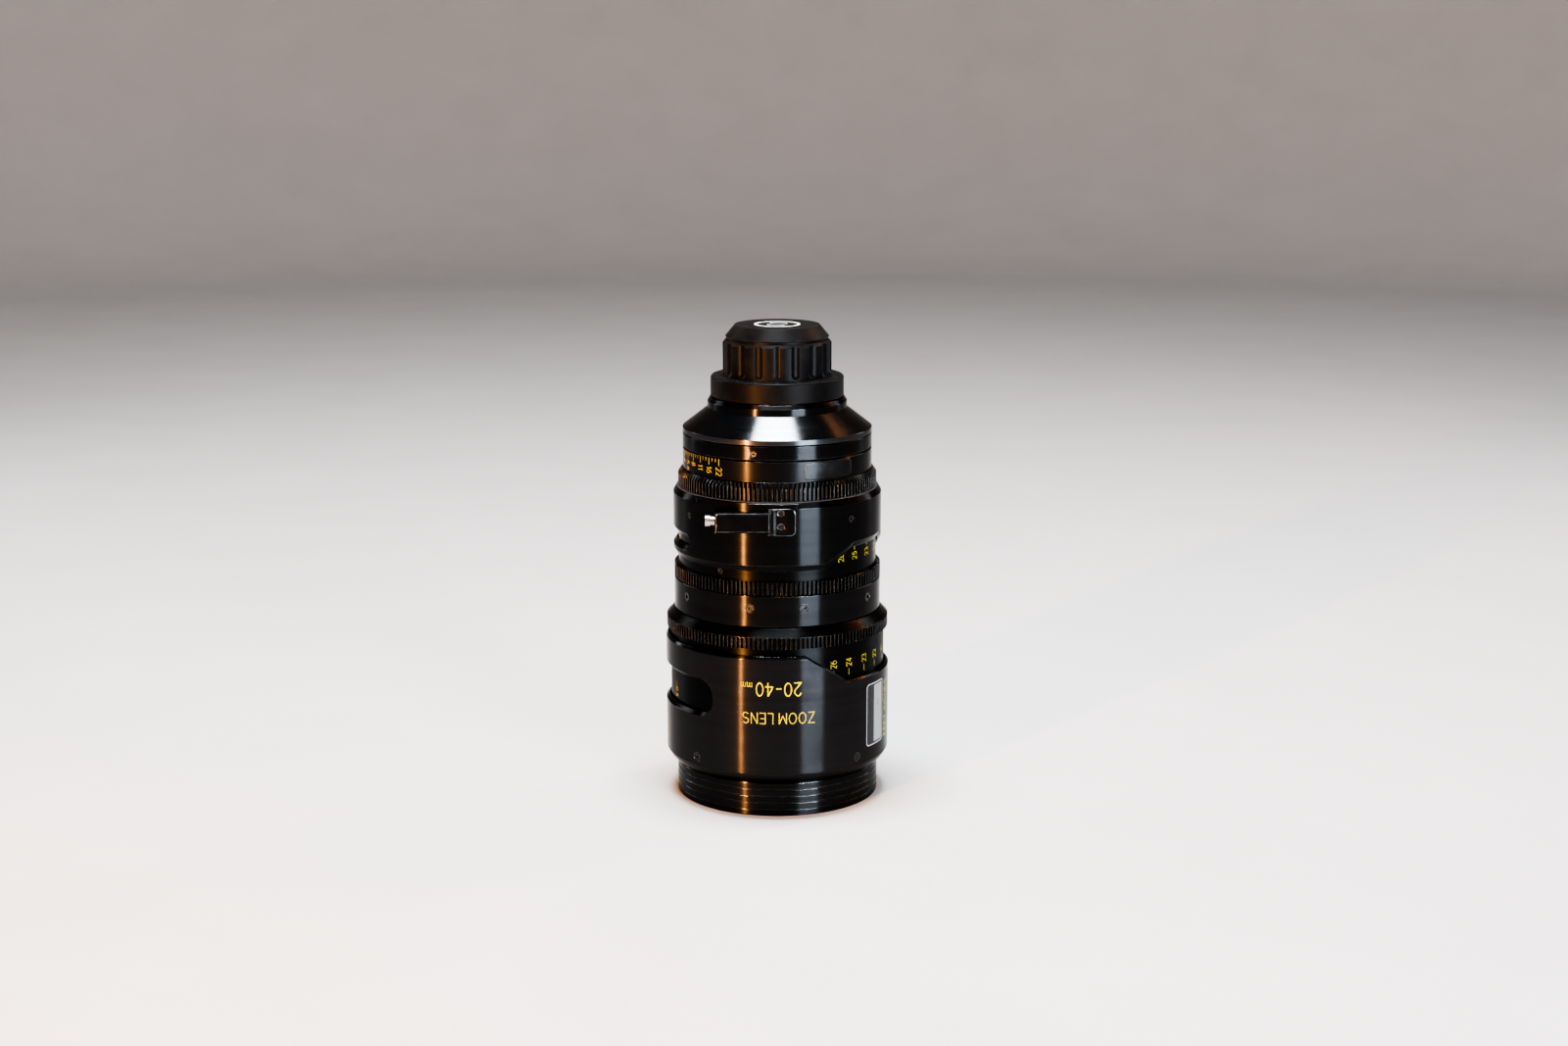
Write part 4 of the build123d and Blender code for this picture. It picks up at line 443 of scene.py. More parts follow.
def arc(cx, cy, rx, ry, start, end, step=20):
    """Points of an elliptical arc, in the letter grid, angles in degrees."""
    steps = max(4, ceil(abs(end - start) / step))
    angles = [radians(start + (end - start) * i / steps) for i in range(steps + 1)]
    return [(cx + rx * cos(a), cy + ry * sin(a)) for a in angles]


# Single-stroke cutter letters on a grid that is 6 high: each has its width and its paths
cutter_letters = {
    "0": (4, [arc(2, 3, 2, 3, 0, 360)]),
    "1": (2.4, [[(0.4, 4.7), (1.9, 6), (1.9, 0)]]),
    "2": (4, [arc(2, 4.15, 1.9, 1.85, 160, -35) + [(0.1, 0), (4, 0)]]),
    "3": (4, [arc(1.9, 4.5, 1.75, 1.5, 150, -90) + arc(1.9, 1.5, 2.05, 1.5, 90, -150)]),
    "4": (4, [[(3, 0), (3, 6), (0, 1.7), (4.2, 1.7)]]),
    "5": (4, [[(3.7, 6), (0.7, 6), (0.4, 3.1)] + arc(1.9, 1.95, 2.05, 1.95, 135, -150)]),
    "6": (4, [arc(2, 1.95, 1.95, 1.95, 0, 360), arc(3.6, 2.1, 3.55, 3.9, 180, 97)]),
    "7": (4, [[(0, 6), (4, 6), (1.3, 0)]]),
    "8": (4, [arc(2, 4.5, 1.6, 1.5, 0, 360), arc(2, 1.5, 1.95, 1.5, 0, 360)]),
    "9": (4, [arc(2, 4.05, 1.95, 1.95, 0, 360), arc(0.4, 3.9, 3.55, 3.9, 0, -83)]),
    "-": (3, [[(0.3, 2.6), (2.7, 2.6)]]),
    ".": (0.8, [[(0.4, 0.1), (0.4, 0.5)]]),
    "'": (-1.2, [[(-0.45, 6.3), (-0.6, 5.2)]]),
    "~": (6.4, [arc(1.6, 2.6, 1.6, 1.35, 0, 360), arc(4.8, 2.6, 1.6, 1.35, 180, 540)]),
    "m": (4.4, [[(0, 0), (0, 4)], [(0, 2.5)] + arc(1.1, 2.8, 1.1, 1.15, 170, 0) + [(2.2, 0)],
                [(2.2, 2.5)] + arc(3.3, 2.8, 1.1, 1.15, 170, 0) + [(4.4, 0)]]),
    "C": (4.3, [arc(2.4, 3, 2.4, 3, 48, 312)]),
    "E": (3.6, [[(3.6, 6), (0, 6), (0, 0), (3.6, 0)], [(0, 3.15), (3, 3.15)]]),
    "F": (3.5, [[(0, 0), (0, 6), (3.5, 6)], [(0, 3.1), (2.9, 3.1)]]),
    "H": (4, [[(0, 0), (0, 6)], [(4, 0), (4, 6)], [(0, 3.1), (4, 3.1)]]),
    "I": (0.8, [[(0.4, 0), (0.4, 6)]]),
    "L": (3.3, [[(0, 6), (0, 0), (3.3, 0)]]),
    "M": (4.8, [[(0, 0), (0, 6), (2.4, 1.5), (4.8, 6), (4.8, 0)]]),
    "N": (4.1, [[(0, 0), (0, 6), (4.1, 0), (4.1, 6)]]),
    "O": (4.8, [arc(2.4, 3, 2.4, 3, 0, 360)]),
    "R": (4, [[(0, 0), (0, 6), (2.2, 6)] + arc(2.3, 4.55, 1.6, 1.45, 90, -90) + [(0, 3.1)],
              [(2.0, 3.1), (4, 0)]]),
    "S": (4, [arc(2, 4.5, 1.85, 1.5, 35, 270) + arc(2, 1.5, 1.95, 1.5, 90, -145)]),
    "T": (4, [[(0, 6), (4, 6)], [(2, 6), (2, 0)]]),
    "Z": (4, [[(0, 6), (4, 6), (0, 0), (4, 0)]]),
}


def cutter_text(text, cap, length=None, space=1.6):
    """Paths of a line of text whose capitals are cap high: x runs along the line from 0, y up
    from its foot. It is drawn out to the length if that is given. Gives (paths, length)."""
    pen, paths = 0.0, []
    for letter in text:
        if letter == " ":
            pen += word_gap
            continue
        width, strokes = cutter_letters[letter]
        paths += [[(x + pen, y) for x, y in stroke] for stroke in strokes]
        pen += width + space
    pen -= space
    across = length / pen if length else cap / letter_height * letter_squeeze
    paths = [[(x * across, y * cap / letter_height) for x, y in path] for path in paths]
    return paths, pen * across


# The way a line of text runs on the standing lens: each gives (along the turn, up the axis)
def towards_left(x, y):
    return -x, -y


def downward(x, y):
    return y, -x


def upward(x, y):
    return -y, x


def on_ring(text, cap, azimuth, start, ring_radius, way, centred=False, length=None, space=1.6):
    """Paths, as (arc length, height), of a text that starts at that azimuth and height on a
    ring. When centred, the azimuth runs through the middle of its capitals."""
    paths, _ = cutter_text(text, cap, length, space)
    lift = -cap / 2 if centred else 0.0
    origin = radians(azimuth) * ring_radius
    placed = []
    for path in paths:
        turned = [way(x, y + lift) for x, y in path]
        placed.append([(origin + u, start + v) for u, v in turned])
    return placed


def tick(azimuth, foot, top, ring_radius):
    """One upright stroke on a ring."""
    u = radians(azimuth) * ring_radius
    return [(u, foot), (u, top)]


sharp_turn = radians(50)
longest_step = 0.9
standing_still = 1e-6


def split_path(path):
    """Smooth stretches of a path, cut where it turns sharply, with no step too long."""
    pieces, piece = [], [path[0]]
    for here, after in zip(path, path[1:]):
        go = (after[0] - here[0], after[1] - here[1])
        if hypot(*go) < standing_still:
            continue
        if len(piece) > 1:
            before = piece[-2]
            turn = atan2(go[1], go[0]) - atan2(here[1] - before[1], here[0] - before[0])
            turn = (turn + pi) % (2 * pi) - pi
            if abs(turn) > sharp_turn:
                pieces.append(piece)
                piece = [here]
        steps = max(1, ceil(hypot(*go) / longest_step))
        piece += [(here[0] + go[0] * i / steps, here[1] + go[1] * i / steps)
                  for i in range(1, steps + 1)]
    pieces.append(piece)
    return pieces


meeting_ends = 1e-4
end_steps = 6


def ribbon(path, width):
    """Strip along a path with round ends: its rows of (left, middle, right), the rims of its
    two ends, and whether it is a closed loop instead."""
    gap = hypot(path[0][0] - path[-1][0], path[0][1] - path[-1][1])
    closed = len(path) > 4 and gap < meeting_ends
    points = path[:-1] if closed else path
    count, half, rows, angles = len(points), width / 2, [], []
    for i, (x, y) in enumerate(points):
        if closed:
            before, after = points[i - 1], points[(i + 1) % count]
        else:
            before, after = points[max(0, i - 1)], points[min(count - 1, i + 1)]
        angle = atan2(after[1] - before[1], after[0] - before[0])
        angles.append(angle)
        side = (-sin(angle) * half, cos(angle) * half)
        rows.append(((x + side[0], y + side[1]), (x, y), (x - side[0], y - side[1])))
    rims = []
    if not closed:
        for i, first in ((0, angles[0] + pi / 2), (count - 1, angles[-1] - pi / 2)):
            x, y = points[i]
            turns = [first + pi * s / end_steps for s in range(1, end_steps)]
            rims.append((i, [(x + half * cos(a), y + half * sin(a)) for a in turns]))
    return rows, rims, closed


def stroke_mesh(name, paths, widths, put, edge_rise, middle_rise, body, material):
    """Strokes as one thin crowned mesh that rides on its body. put gives the point, in metres,
    for a place on a path and a rise above the surface that carries it, in millimetres."""
    points, faces = [], []

    def add(place, rise):
        points.append(put(place, rise))
        return len(points) - 1

    for path, width in zip(paths, widths):
        for piece in split_path(path):
            rows, rims, closed = ribbon(piece, width)
            made = [(add(left, edge_rise), add(middle, middle_rise), add(right, edge_rise))
                    for left, middle, right in rows]
            pairs = list(zip(made, made[1:])) + ([(made[-1], made[0])] if closed else [])
            for (left0, middle0, right0), (left1, middle1, right1) in pairs:
                faces += [(right0, right1, middle1, middle0), (middle0, middle1, left1, left0)]
            for i, rim in rims:
                left, middle, right = made[i]
                ends = (left, right) if i == 0 else (right, left)
                loop = [ends[0]] + [add(place, edge_rise) for place in rim] + [ends[1]]
                faces += [(middle, a, b) for a, b in zip(loop, loop[1:])]
    mesh = bpy.data.meshes.new(name)
    mesh.from_pydata(points, [], faces)
    mesh.update()
    mesh.shade_smooth()
    mesh.materials.append(material)
    strokes = bpy.data.objects.new(name, mesh)
    scene.collection.objects.link(strokes)
    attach(strokes, body)


def fill_paint(name, colour):
    """Enamel wiped into a cut letter: slightly uneven and a little dull."""
    material, tree, shader = blank_material(name)
    uneven = cloud(tree, own_place(tree), 0.0016, detail=4.0, roughness=0.6)
    tone = tint(tree, fade(tree, uneven, 0.3, 0.7), scaled(colour, 0.72), colour)
    tree.links.new(tone, shader.inputs["Base Color"])
    tree.links.new(fade(tree, uneven, 0.3, 0.7, low=0.52, high=0.40), shader.inputs["Roughness"])
    shader.inputs["Specular IOR Level"].default_value = 0.2
    link_bump(tree, shader, uneven, depth=0.00002)
    return material


yellow_fill = fill_paint("yellow_fill", (0.41, 0.355, 0.003))
paint_sink, paint_crown = 0.012, 0.020


def painted_strokes(name, paths, ring_radius, width, body):
    """Yellow-filled strokes of that width, wrapped on a ring. Their edges dip into the metal."""
    def wrap(place, rise):
        turn = place[0] / ring_radius
        out = (ring_radius + rise) / 1000
        return out * sin(turn), -out * cos(turn), place[1] / 1000

    stroke_mesh(name, paths, [width] * len(paths), wrap, -paint_sink, paint_crown, body,
                yellow_fill)


focal_range = on_ring("20-40", cap=7.3, azimuth=12.2, start=77.9, ring_radius=cover_radius,
                      way=towards_left, length=24.8, space=1.9)
kind_words = on_ring("ZOOM LENS", cap=6.0, azimuth=18.9, start=60.9, ring_radius=cover_radius,
                     way=towards_left, length=39.8, space=1.8)
small_words = on_ring("mm", cap=3.6, azimuth=-12.6, start=77.9, ring_radius=cover_radius,
                      way=towards_left, length=6.2)
small_words += on_ring("FEET INCHES", cap=3.7, azimuth=75.4, start=35.2,
                       ring_radius=cover_radius, way=upward, length=32.6, space=1.9)
small_words += on_ring("METRES", cap=3.7, azimuth=-82.0, start=46.0, ring_radius=cover_radius,
                       way=downward, length=19.0, space=1.9)
small_words += [tick(90, foot=70.6, top=74.6, ring_radius=cover_radius),
                tick(-90, foot=75.6, top=79.4, ring_radius=cover_radius)]
for name, paths, width in (("cover_focal_range", focal_range, 0.78),
                           ("cover_kind_words", kind_words, 0.52),
                           ("cover_small_words", small_words, 0.38)):
    painted_strokes(name, paths, cover_radius, width, "lens_barrel")


# ---------------------------------------------------------------------------------------------
# Cover screws. Small socket screws of oil-blackened steel that hold the cover to the barrel;
# the key has polished their sockets and heads a little, and their bright rims are partly painted
# glints.
def blackened_steel(name, tone, gloss, wear):
    """Oil-blackened steel with bright worn edges, which on the screws are partly painted glints."""
    material, tree, shader = blank_material(name)
    worn = place_group(tree, edge_wear, Width=0.00016, Patch=0.002)["Wear"]
    smudge = place_group(tree, handling, Size=0.004)["Smudge"]
    colour = tint(tree, smudge, scaled(tone, 0.8), scaled(tone, 1.2))
    colour = worn_through(tree, worn, wear, colour, (0.50, 0.49, 0.47))
    tree.links.new(colour, shader.inputs["Base Color"])
    tree.links.new(between(tree, smudge, gloss - 0.05, gloss + 0.08), shader.inputs["Roughness"])
    shader.inputs["Metallic"].default_value = 1.0
    grind = cloud(tree, own_place(tree), 0.00015, roughness=0.65)
    link_bump(tree, shader, grind, depth=0.000006)
    return material


# Their bright bare rims are partly wear and partly painted glints
screw_finish = blackened_steel("screw_black_oxide", (0.020, 0.0195, 0.019), gloss=0.30, wear=0.70)
finish_node(screw_finish, "cover_screws")


# ---------------------------------------------------------------------------------------------
# Label plate. A thin aluminium plate let into the cover and glued. It is printed black, with a
# fine pale outline and a blank pale panel for the owner's own mark.
label_azimuth = 61.0
label_middle = 52.0
label_half_width, label_half_height = 9.8, 18.0
outline_inset = 0.4
outline_corner = 2.1
panel_aside = 2.9
panel_half_width, panel_half_height = 4.9, 16.4
panel_corner = 0.5
line_fade, panel_fade, panel_strength = (0.30, 0.20), (0.06, -0.06), 0.6
label_black, label_grey = (0.008, 0.008, 0.0085), (0.013, 0.013, 0.0135)
label_ink = (0.27, 0.265, 0.25)


def plate_outline(tree, across, up, half_width, half_height, corner):
    """Distance in millimetres outside a round-cornered rectangle; less than 0 inside."""
    dx = maths(tree, "SUBTRACT", maths(tree, "ABSOLUTE", across), half_width - corner)
    dy = maths(tree, "SUBTRACT", maths(tree, "ABSOLUTE", up), half_height - corner)
    ox, oy = maths(tree, "MAXIMUM", dx, 0.0), maths(tree, "MAXIMUM", dy, 0.0)
    square = maths(tree, "ADD", maths(tree, "MULTIPLY", ox, ox), maths(tree, "MULTIPLY", oy, oy))
    far = maths(tree, "SQRT", square)
    near = maths(tree, "MINIMUM", maths(tree, "MAXIMUM", dx, dy), 0.0)
    return maths(tree, "SUBTRACT", maths(tree, "ADD", far, near), corner)


label_print, tree, shader = blank_material("label_print")
parts = tree.nodes.new("ShaderNodeSeparateXYZ")
tree.links.new(own_place(tree), parts.inputs[0])
x, y, z = parts.outputs
turn = maths(tree, "ARCTAN2", x, maths(tree, "MULTIPLY", y, -1.0))
turn = maths(tree, "SUBTRACT", turn, radians(label_azimuth))
across = maths(tree, "MULTIPLY", turn, cover_radius)
up = maths(tree, "SUBTRACT", maths(tree, "MULTIPLY", z, 1000.0), label_middle)
edge = plate_outline(tree, across, up, label_half_width - outline_inset,
                     label_half_height - outline_inset, outline_corner)
line = fade(tree, maths(tree, "ABSOLUTE", edge), *line_fade)
panel = plate_outline(tree, maths(tree, "SUBTRACT", across, panel_aside), up, panel_half_width,
                      panel_half_height, panel_corner)
panel = fade(tree, panel, *panel_fade, low=0.0, high=panel_strength)
rub = cloud(tree, own_place(tree), 0.0022, detail=4.0, roughness=0.62)
rubbed_ink = fade(tree, rub, 0.25, 0.5, low=0.55, high=1.0)
ink = maths(tree, "MULTIPLY", maths(tree, "MAXIMUM", line, panel), rubbed_ink)
ground = tint(tree, rub, label_black, label_grey)
tree.links.new(tint(tree, ink, ground, label_ink), shader.inputs["Base Color"])
shader.inputs["Specular IOR Level"].default_value = 0.12
tree.links.new(fade(tree, rub, 0.3, 0.7, low=0.36, high=0.50), shader.inputs["Roughness"])
link_bump(tree, shader, rub, depth=0.000015)
finish_node(label_print, "label_plate")


# ---------------------------------------------------------------------------------------------
# Focus ring, its scale drum and cam sleeve. Turned aluminium, black anodised; the ring's teeth
# are cut for a follow-focus gear and bright at their corners. The drum carries the distance
# scale, cut and filled yellow: feet and inches for the right reader, metres for the left.
gear_finish = black_anodised("gear_ring_black", (0.015, 0.0148, 0.0148), gloss=0.24,
                             pitch=0.00032, wear=0.3, edge=0.00018, streak=0.8)
finish_node(gear_finish, "focus_ring")
finish_node(black_anodised("focus_drum_black", (0.018, 0.018, 0.0185), gloss=0.36, wear=0.3),
            "focus_scale_drum")
finish_node(matt_black("cam_sleeve_matt", tone=0.030, rough=0.5), "focus_cam_sleeve")

drum_radius = 60.3
small_cap = 3.8
# How far the ring is turned, in degrees, when each distance stands at its index
feet_turns = {
    "1'10": -15, "2'": 0, "2'1": 13, "2'2": 26, "2'3": 37, "2'4": 49, "2'6": 59, "2'9": 75,
    "3'": 90, "3'6": 112, "4'": 133, "5'": 160, "6'": 182, "8'": 208, "10'": 224, "15'": 243,
    "20'": 252, "30'": 262, "~": 275,
}
metre_turns = {
    "0.5": -21, "0.6": -3, "0.7": 43, "0.8": 67, "0.9": 87, "1": 103, "1.2": 130, "1.5": 158,
    "2": 190, "3": 222, "5": 246, "10": 263, "~": 275,
}


def scale_mark(text, azimuth, ring_radius, way, start, foot, top, cap=small_cap):
    """A number that starts at that height on its azimuth, with its tick from foot to top."""
    number = on_ring(text, cap, azimuth, start, ring_radius, way, centred=True)
    return number + [tick(azimuth, foot, top, ring_radius)]


focus_paths = []
for text, turn in feet_turns.items():
    focus_paths += scale_mark(text, 90 - turn, drum_radius, upward, start=82.9, foot=78.2,
                              top=81.6)
for text, turn in metre_turns.items():
    focus_paths += scale_mark(text, -90 - turn, drum_radius, downward, start=64.2, foot=65.2,
                              top=67.6)
painted_strokes("focus_scale", focus_paths, drum_radius, width=0.28, body="focus")


# ---------------------------------------------------------------------------------------------
# Focus group. Matt black aluminium cell with two glasses, carried by three turned brass
# followers that run in the cam sleeve's slots.
def turned_brass(name):
    """Lightly lacquered turned brass, tarnished in patches."""
    material, tree, shader = blank_material(name)
    marks = place_group(tree, turning_marks, Pitch=0.00018)
    worn = place_group(tree, edge_wear, Width=0.0002, Patch=0.002)["Wear"]
    tarnish = cloud(tree, own_place(tree), 0.003, detail=4.0, roughness=0.6)
    colour = tint(tree, fade(tree, tarnish, 0.4, 0.7), (0.70, 0.50, 0.21), (0.42, 0.29, 0.13))
    tree.links.new(tint(tree, worn, colour, (0.86, 0.68, 0.36)), shader.inputs["Base Color"])
    tree.links.new(fade(tree, tarnish, 0.3, 0.7, low=0.24, high=0.42), shader.inputs["Roughness"])
    shader.inputs["Metallic"].default_value = 1.0
    link_bump(tree, shader, marks["Height"], depth=0.000005)
    return material


brass_finish = turned_brass("follower_brass")
finish_node(matt_black("focus_cell_matt"), "focus_cell")
finish_node(coated_glass("focus_glass_coated", (0.80, 0.72, 1.0)), "focus_lens_front",
            "focus_lens_rear")
finish_node(brass_finish, "focus_followers")


# ---------------------------------------------------------------------------------------------
# Centre band. Plain grip between the two gears, turned from aluminium and black anodised. Eight
# black socket screws fix it to the barrel.
finish_node(black_anodised("centre_band_black", (0.024, 0.0235, 0.024), gloss=0.19,
                           pitch=0.00028, wear=0.55), "centre_band")
finish_node(screw_finish, "centre_band_screws")


# ---------------------------------------------------------------------------------------------
# Zoom ring and cam tube. Gear and scale drum in one piece of black anodised aluminium; three
# black screws join it to the cam tube inside. Focal lengths are cut twice round its drum, larger
# for the right reader's opening than for the left reader's slot.
finish_node(gear_finish, "zoom_ring")
finish_node(screw_finish, "zoom_ring_screws")
finish_node(matt_black("cam_tube_matt", tone=0.030, rough=0.5), "zoom_cam_tube")

zoom_radius = 55.5
slot_cap = 2.4
zoom_azimuths = {"20": 102, "21": 90, "22": 77, "23": 63, "25": 50, "28": 39, "32": 20, "36": 5,
                 "40": -10}
zoom_paths = []
for text, azimuth in zoom_azimuths.items():
    zoom_paths += scale_mark(text, azimuth, zoom_radius, upward, start=141.0, foot=146.8,
                             top=148.8)
    zoom_paths += scale_mark(text, azimuth - 180, zoom_radius, downward, start=149.9,
                             foot=150.3, top=151.2, cap=slot_cap)
painted_strokes("zoom_scale", zoom_paths, zoom_radius, width=0.28, body="zoom")


# ---------------------------------------------------------------------------------------------
# Guide barrel, variator and compensator. A matt black aluminium tube with straight slots, and
# in it the two moving cells with their glasses, each carried by three brass followers.
finish_node(matt_black("guide_barrel_matt", tone=0.028, rough=0.55), "guide_barrel")
finish_node(matt_black("zoom_cell_matt"), "variator_cell", "compensator_cell")
finish_node(coated_glass("variator_glass_coated", (0.72, 0.90, 0.85)), "variator_lens")
finish_node(coated_glass("compensator_glass_coated", (0.84, 0.72, 0.95)), "compensator_lens")
finish_node(brass_finish, "variator_followers", "compensator_followers")


# ---------------------------------------------------------------------------------------------
# Support band. Fixed band of black anodised aluminium over the zoom scale, milled open over the
# right reader's numbers and slotted over the left's, with small set screws and an index line at
# each side.
finish_node(black_anodised("support_band_black", (0.020, 0.020, 0.0205), gloss=0.20, wear=0.55,
                           edge=0.0003), "support_band")
finish_node(screw_finish, "set_screws")
support_radius = 58.3
zoom_index = [tick(90, foot=147.0, top=151.0, ring_radius=support_radius),
              tick(-90, foot=155.6, top=159.6, ring_radius=support_radius)]
painted_strokes("zoom_index", zoom_index, support_radius, width=0.55, body="lens_barrel")


# ---------------------------------------------------------------------------------------------
# Data connector. A small milled housing of black anodised aluminium, screwed to the support
# band, with a satin chrome socket at its left end and gilt contacts inside.
def satin_chrome(name):
    """Satin chrome plate on brass, rubbed brighter at its rim."""
    material, tree, shader = blank_material(name)
    edges = place_group(tree, edge_wear, Width=0.0002, Patch=0.002)
    smudge = place_group(tree, handling, Size=0.005)["Smudge"]
    colour = tint(tree, smudge, (0.46, 0.46, 0.47), (0.36, 0.36, 0.37))
    tree.links.new(colour, shader.inputs["Base Color"])
    smoother = maths(tree, "MULTIPLY", edges["Wear"], 0.1)
    rough = maths(tree, "SUBTRACT", between(tree, smudge, 0.22, 0.32), smoother)
    tree.links.new(rough, shader.inputs["Roughness"])
    shader.inputs["Metallic"].default_value = 1.0
    satin = cloud(tree, own_place(tree), 0.00012, detail=2.0)
    link_bump(tree, shader, satin, 0.000004, edges["Rounded"])
    return material


def milled_black(name, tone, gloss, wear):
    """Milled and black anodised, with fine straight cutter marks and rubbed corners (on the
    connector, partly a painted highlight).
    """
    material, tree, shader = blank_material(name)
    parts = tree.nodes.new("ShaderNodeSeparateXYZ")
    tree.links.new(own_place(tree), parts.inputs[0])
    strokes = tree.nodes.new("ShaderNodeTexNoise")
    strokes.noise_dimensions = "1D"
    strokes.inputs["Scale"].default_value = 3800.0
    strokes.inputs["Detail"].default_value = 3.0
    skew = maths(tree, "MULTIPLY", parts.outputs["Y"], 0.35)
    tree.links.new(maths(tree, "ADD", parts.outputs["Z"], skew), strokes.inputs["W"])
    edges = place_group(tree, edge_wear, Width=0.0007, Patch=0.004)
    smudge = place_group(tree, handling, Size=0.012)["Smudge"]
    lying = place_group(tree, settled_dust, Amount=thin_dust)["Dust"]
    colour = tint(tree, smudge, scaled(tone, 0.85), scaled(tone, 1.15))
    colour = worn_through(tree, edges["Wear"], wear, colour, bare_aluminium)
    dusty_metal(tree, shader, lying, colour)
    tree.links.new(between(tree, smudge, gloss - 0.03, gloss + 0.07), shader.inputs["Roughness"])
    shader.inputs["Specular Tint"].default_value = glancing_tint
    link_bump(tree, shader, strokes.outputs["Fac"], 0.000004, edges["Rounded"])
    return material


# Its wide bare edges are partly wear and partly a painted highlight along its lit top edge
finish_node(milled_black("connector_black", (0.009, 0.009, 0.0095), gloss=0.17, wear=0.6),
            "connector_housing")
finish_node(satin_chrome("socket_satin_chrome"), "connector_socket")
finish_node(brass_finish, "connector_contacts")
finish_node(screw_finish, "connector_screws")


# ---------------------------------------------------------------------------------------------
# Iris ring. Black anodised aluminium with a fine gear and the stop scale behind it, turning on
# the matt black rear housing; a smooth plate is let into it and three steel pins reach in to
# the blades' drive ring.
finish_node(matt_black("rear_housing_matt", tone=0.035, rough=0.5, wear=0.4), "rear_housing")
finish_node(black_anodised("iris_ring_black", (0.026, 0.0256, 0.0256), gloss=0.17, edge=0.00016,
                           streak=0.6), "iris_ring")
finish_node(screw_finish, "iris_drive_pins")
finish_node(milled_black("iris_plate_black", (0.022, 0.022, 0.0225), gloss=0.20, wear=0.35),
            "iris_scale_plate")

iris_radius = 52.8
iris_back = 198.0
stop_start = 193.2
stop_foot, third_foot = 194.3, 196.2
right_copy = 182
stop_azimuths = {"22": -36.7, "16": -44.6, "11": -52.6, "8": -60.5, "5.6": -68.5, "4": -76.5,
                 "2.8": -84.5}
iris_paths = []
for text, azimuth in stop_azimuths.items():
    run = cutter_text(text, small_cap)[1]
    iris_paths += scale_mark(text, azimuth, iris_radius, downward, start=stop_start,
                             foot=stop_foot, top=iris_back)
    iris_paths += scale_mark(text, azimuth + right_copy, iris_radius, upward,
                             start=stop_start - run, foot=stop_foot, top=iris_back)
stops = list(stop_azimuths.values())
for first, last in zip(stops, stops[1:]):
    for share in (1 / 3, 2 / 3):
        azimuth = first + (last - first) * share
        iris_paths.append(tick(azimuth, third_foot, iris_back, iris_radius))
        iris_paths.append(tick(azimuth + right_copy, third_foot, iris_back, iris_radius))
painted_strokes("iris_scale", iris_paths, iris_radius, width=0.29, body="iris")


# ---------------------------------------------------------------------------------------------
# Iris blades and their rings. Seven thin spring-steel blades, blackened and oiled, on pivots in
# a fixed base plate and turned by a slotted drive ring.
finish_node(matt_black("iris_base_matt", tone=0.03, rough=0.5), "iris_base", "iris_drive_ring")
blade_finish = blackened_steel("blade_black", (0.075, 0.075, 0.078), gloss=0.36, wear=0.5)
finish_node(blade_finish, *[f"iris_blade_{n}" for n in range(1, 8)])


# ---------------------------------------------------------------------------------------------
# Rear barrel, cone and mount ring. Aluminium parts, turned and black anodised, that step down
# to the mount, with the stop index painted on the barrel's two sides.
finish_node(black_anodised("rear_barrel_black", (0.024, 0.024, 0.0245), gloss=0.21),
            "rear_barrel")
finish_node(black_anodised("rear_cone_black", (0.085, 0.087, 0.091), gloss=0.15, pitch=0.00024,
                           cut=0.000001, streak=0.6), "rear_cone")
finish_node(black_anodised("mount_ring_black", (0.024, 0.024, 0.0245), gloss=0.21, wear=0.55),
            "mount_ring")
iris_index = [tick(azimuth, foot=199.4, top=203.4, ring_radius=iris_radius)
              for azimuth in (90, -90)]
painted_strokes("iris_index", iris_index, iris_radius, width=0.6, body="lens_barrel")


# ---------------------------------------------------------------------------------------------
# Mount. A ground stainless flange with four lobes on a thin shim, held by black screws round a
# black mount tube; all of it is under the rear cap.
def ground_steel(name):
    """Stainless steel ground in circles, marked where cameras have gripped it."""
    material, tree, shader = blank_material(name)
    marks = place_group(tree, turning_marks, Pitch=0.00016)
    smudge = place_group(tree, handling, Size=0.009)["Smudge"]
    worn = place_group(tree, edge_wear, Width=0.0002, Patch=0.003)["Wear"]
    tone = 0.58
    darker, lighter = (tone * 0.82,) * 3, (tone * 1.05, tone * 1.04, tone * 1.02)
    colour = tint(tree, marks["Band"], darker, lighter)
    tree.links.new(tint(tree, worn, colour, (0.72, 0.71, 0.70)), shader.inputs["Base Color"])
    tree.links.new(between(tree, smudge, 0.24, 0.36), shader.inputs["Roughness"])
    shader.inputs["Metallic"].default_value = 1.0
    turned_sheen(tree, shader, 0.7)
    link_bump(tree, shader, marks["Height"], depth=0.000004)
    return material


finish_node(ground_steel("mount_ground_steel"), "mount_flange", "mount_shim")
finish_node(screw_finish, "mount_screws")
finish_node(black_anodised("mount_tube_black", (0.022, 0.022, 0.0225), gloss=0.33), "mount_tube")


# ---------------------------------------------------------------------------------------------
# Relay cell and rear glasses. The last two glasses behind the iris, in a matt black aluminium
# cell with a screwed retainer.
finish_node(matt_black("relay_cell_matt"), "relay_cell", "rear_retainer")
finish_node(coated_glass("relay_glass_coated", (0.85, 0.78, 1.0)), "relay_lens")
finish_node(coated_glass("rear_glass_coated", (0.72, 0.92, 0.82)), "rear_element")


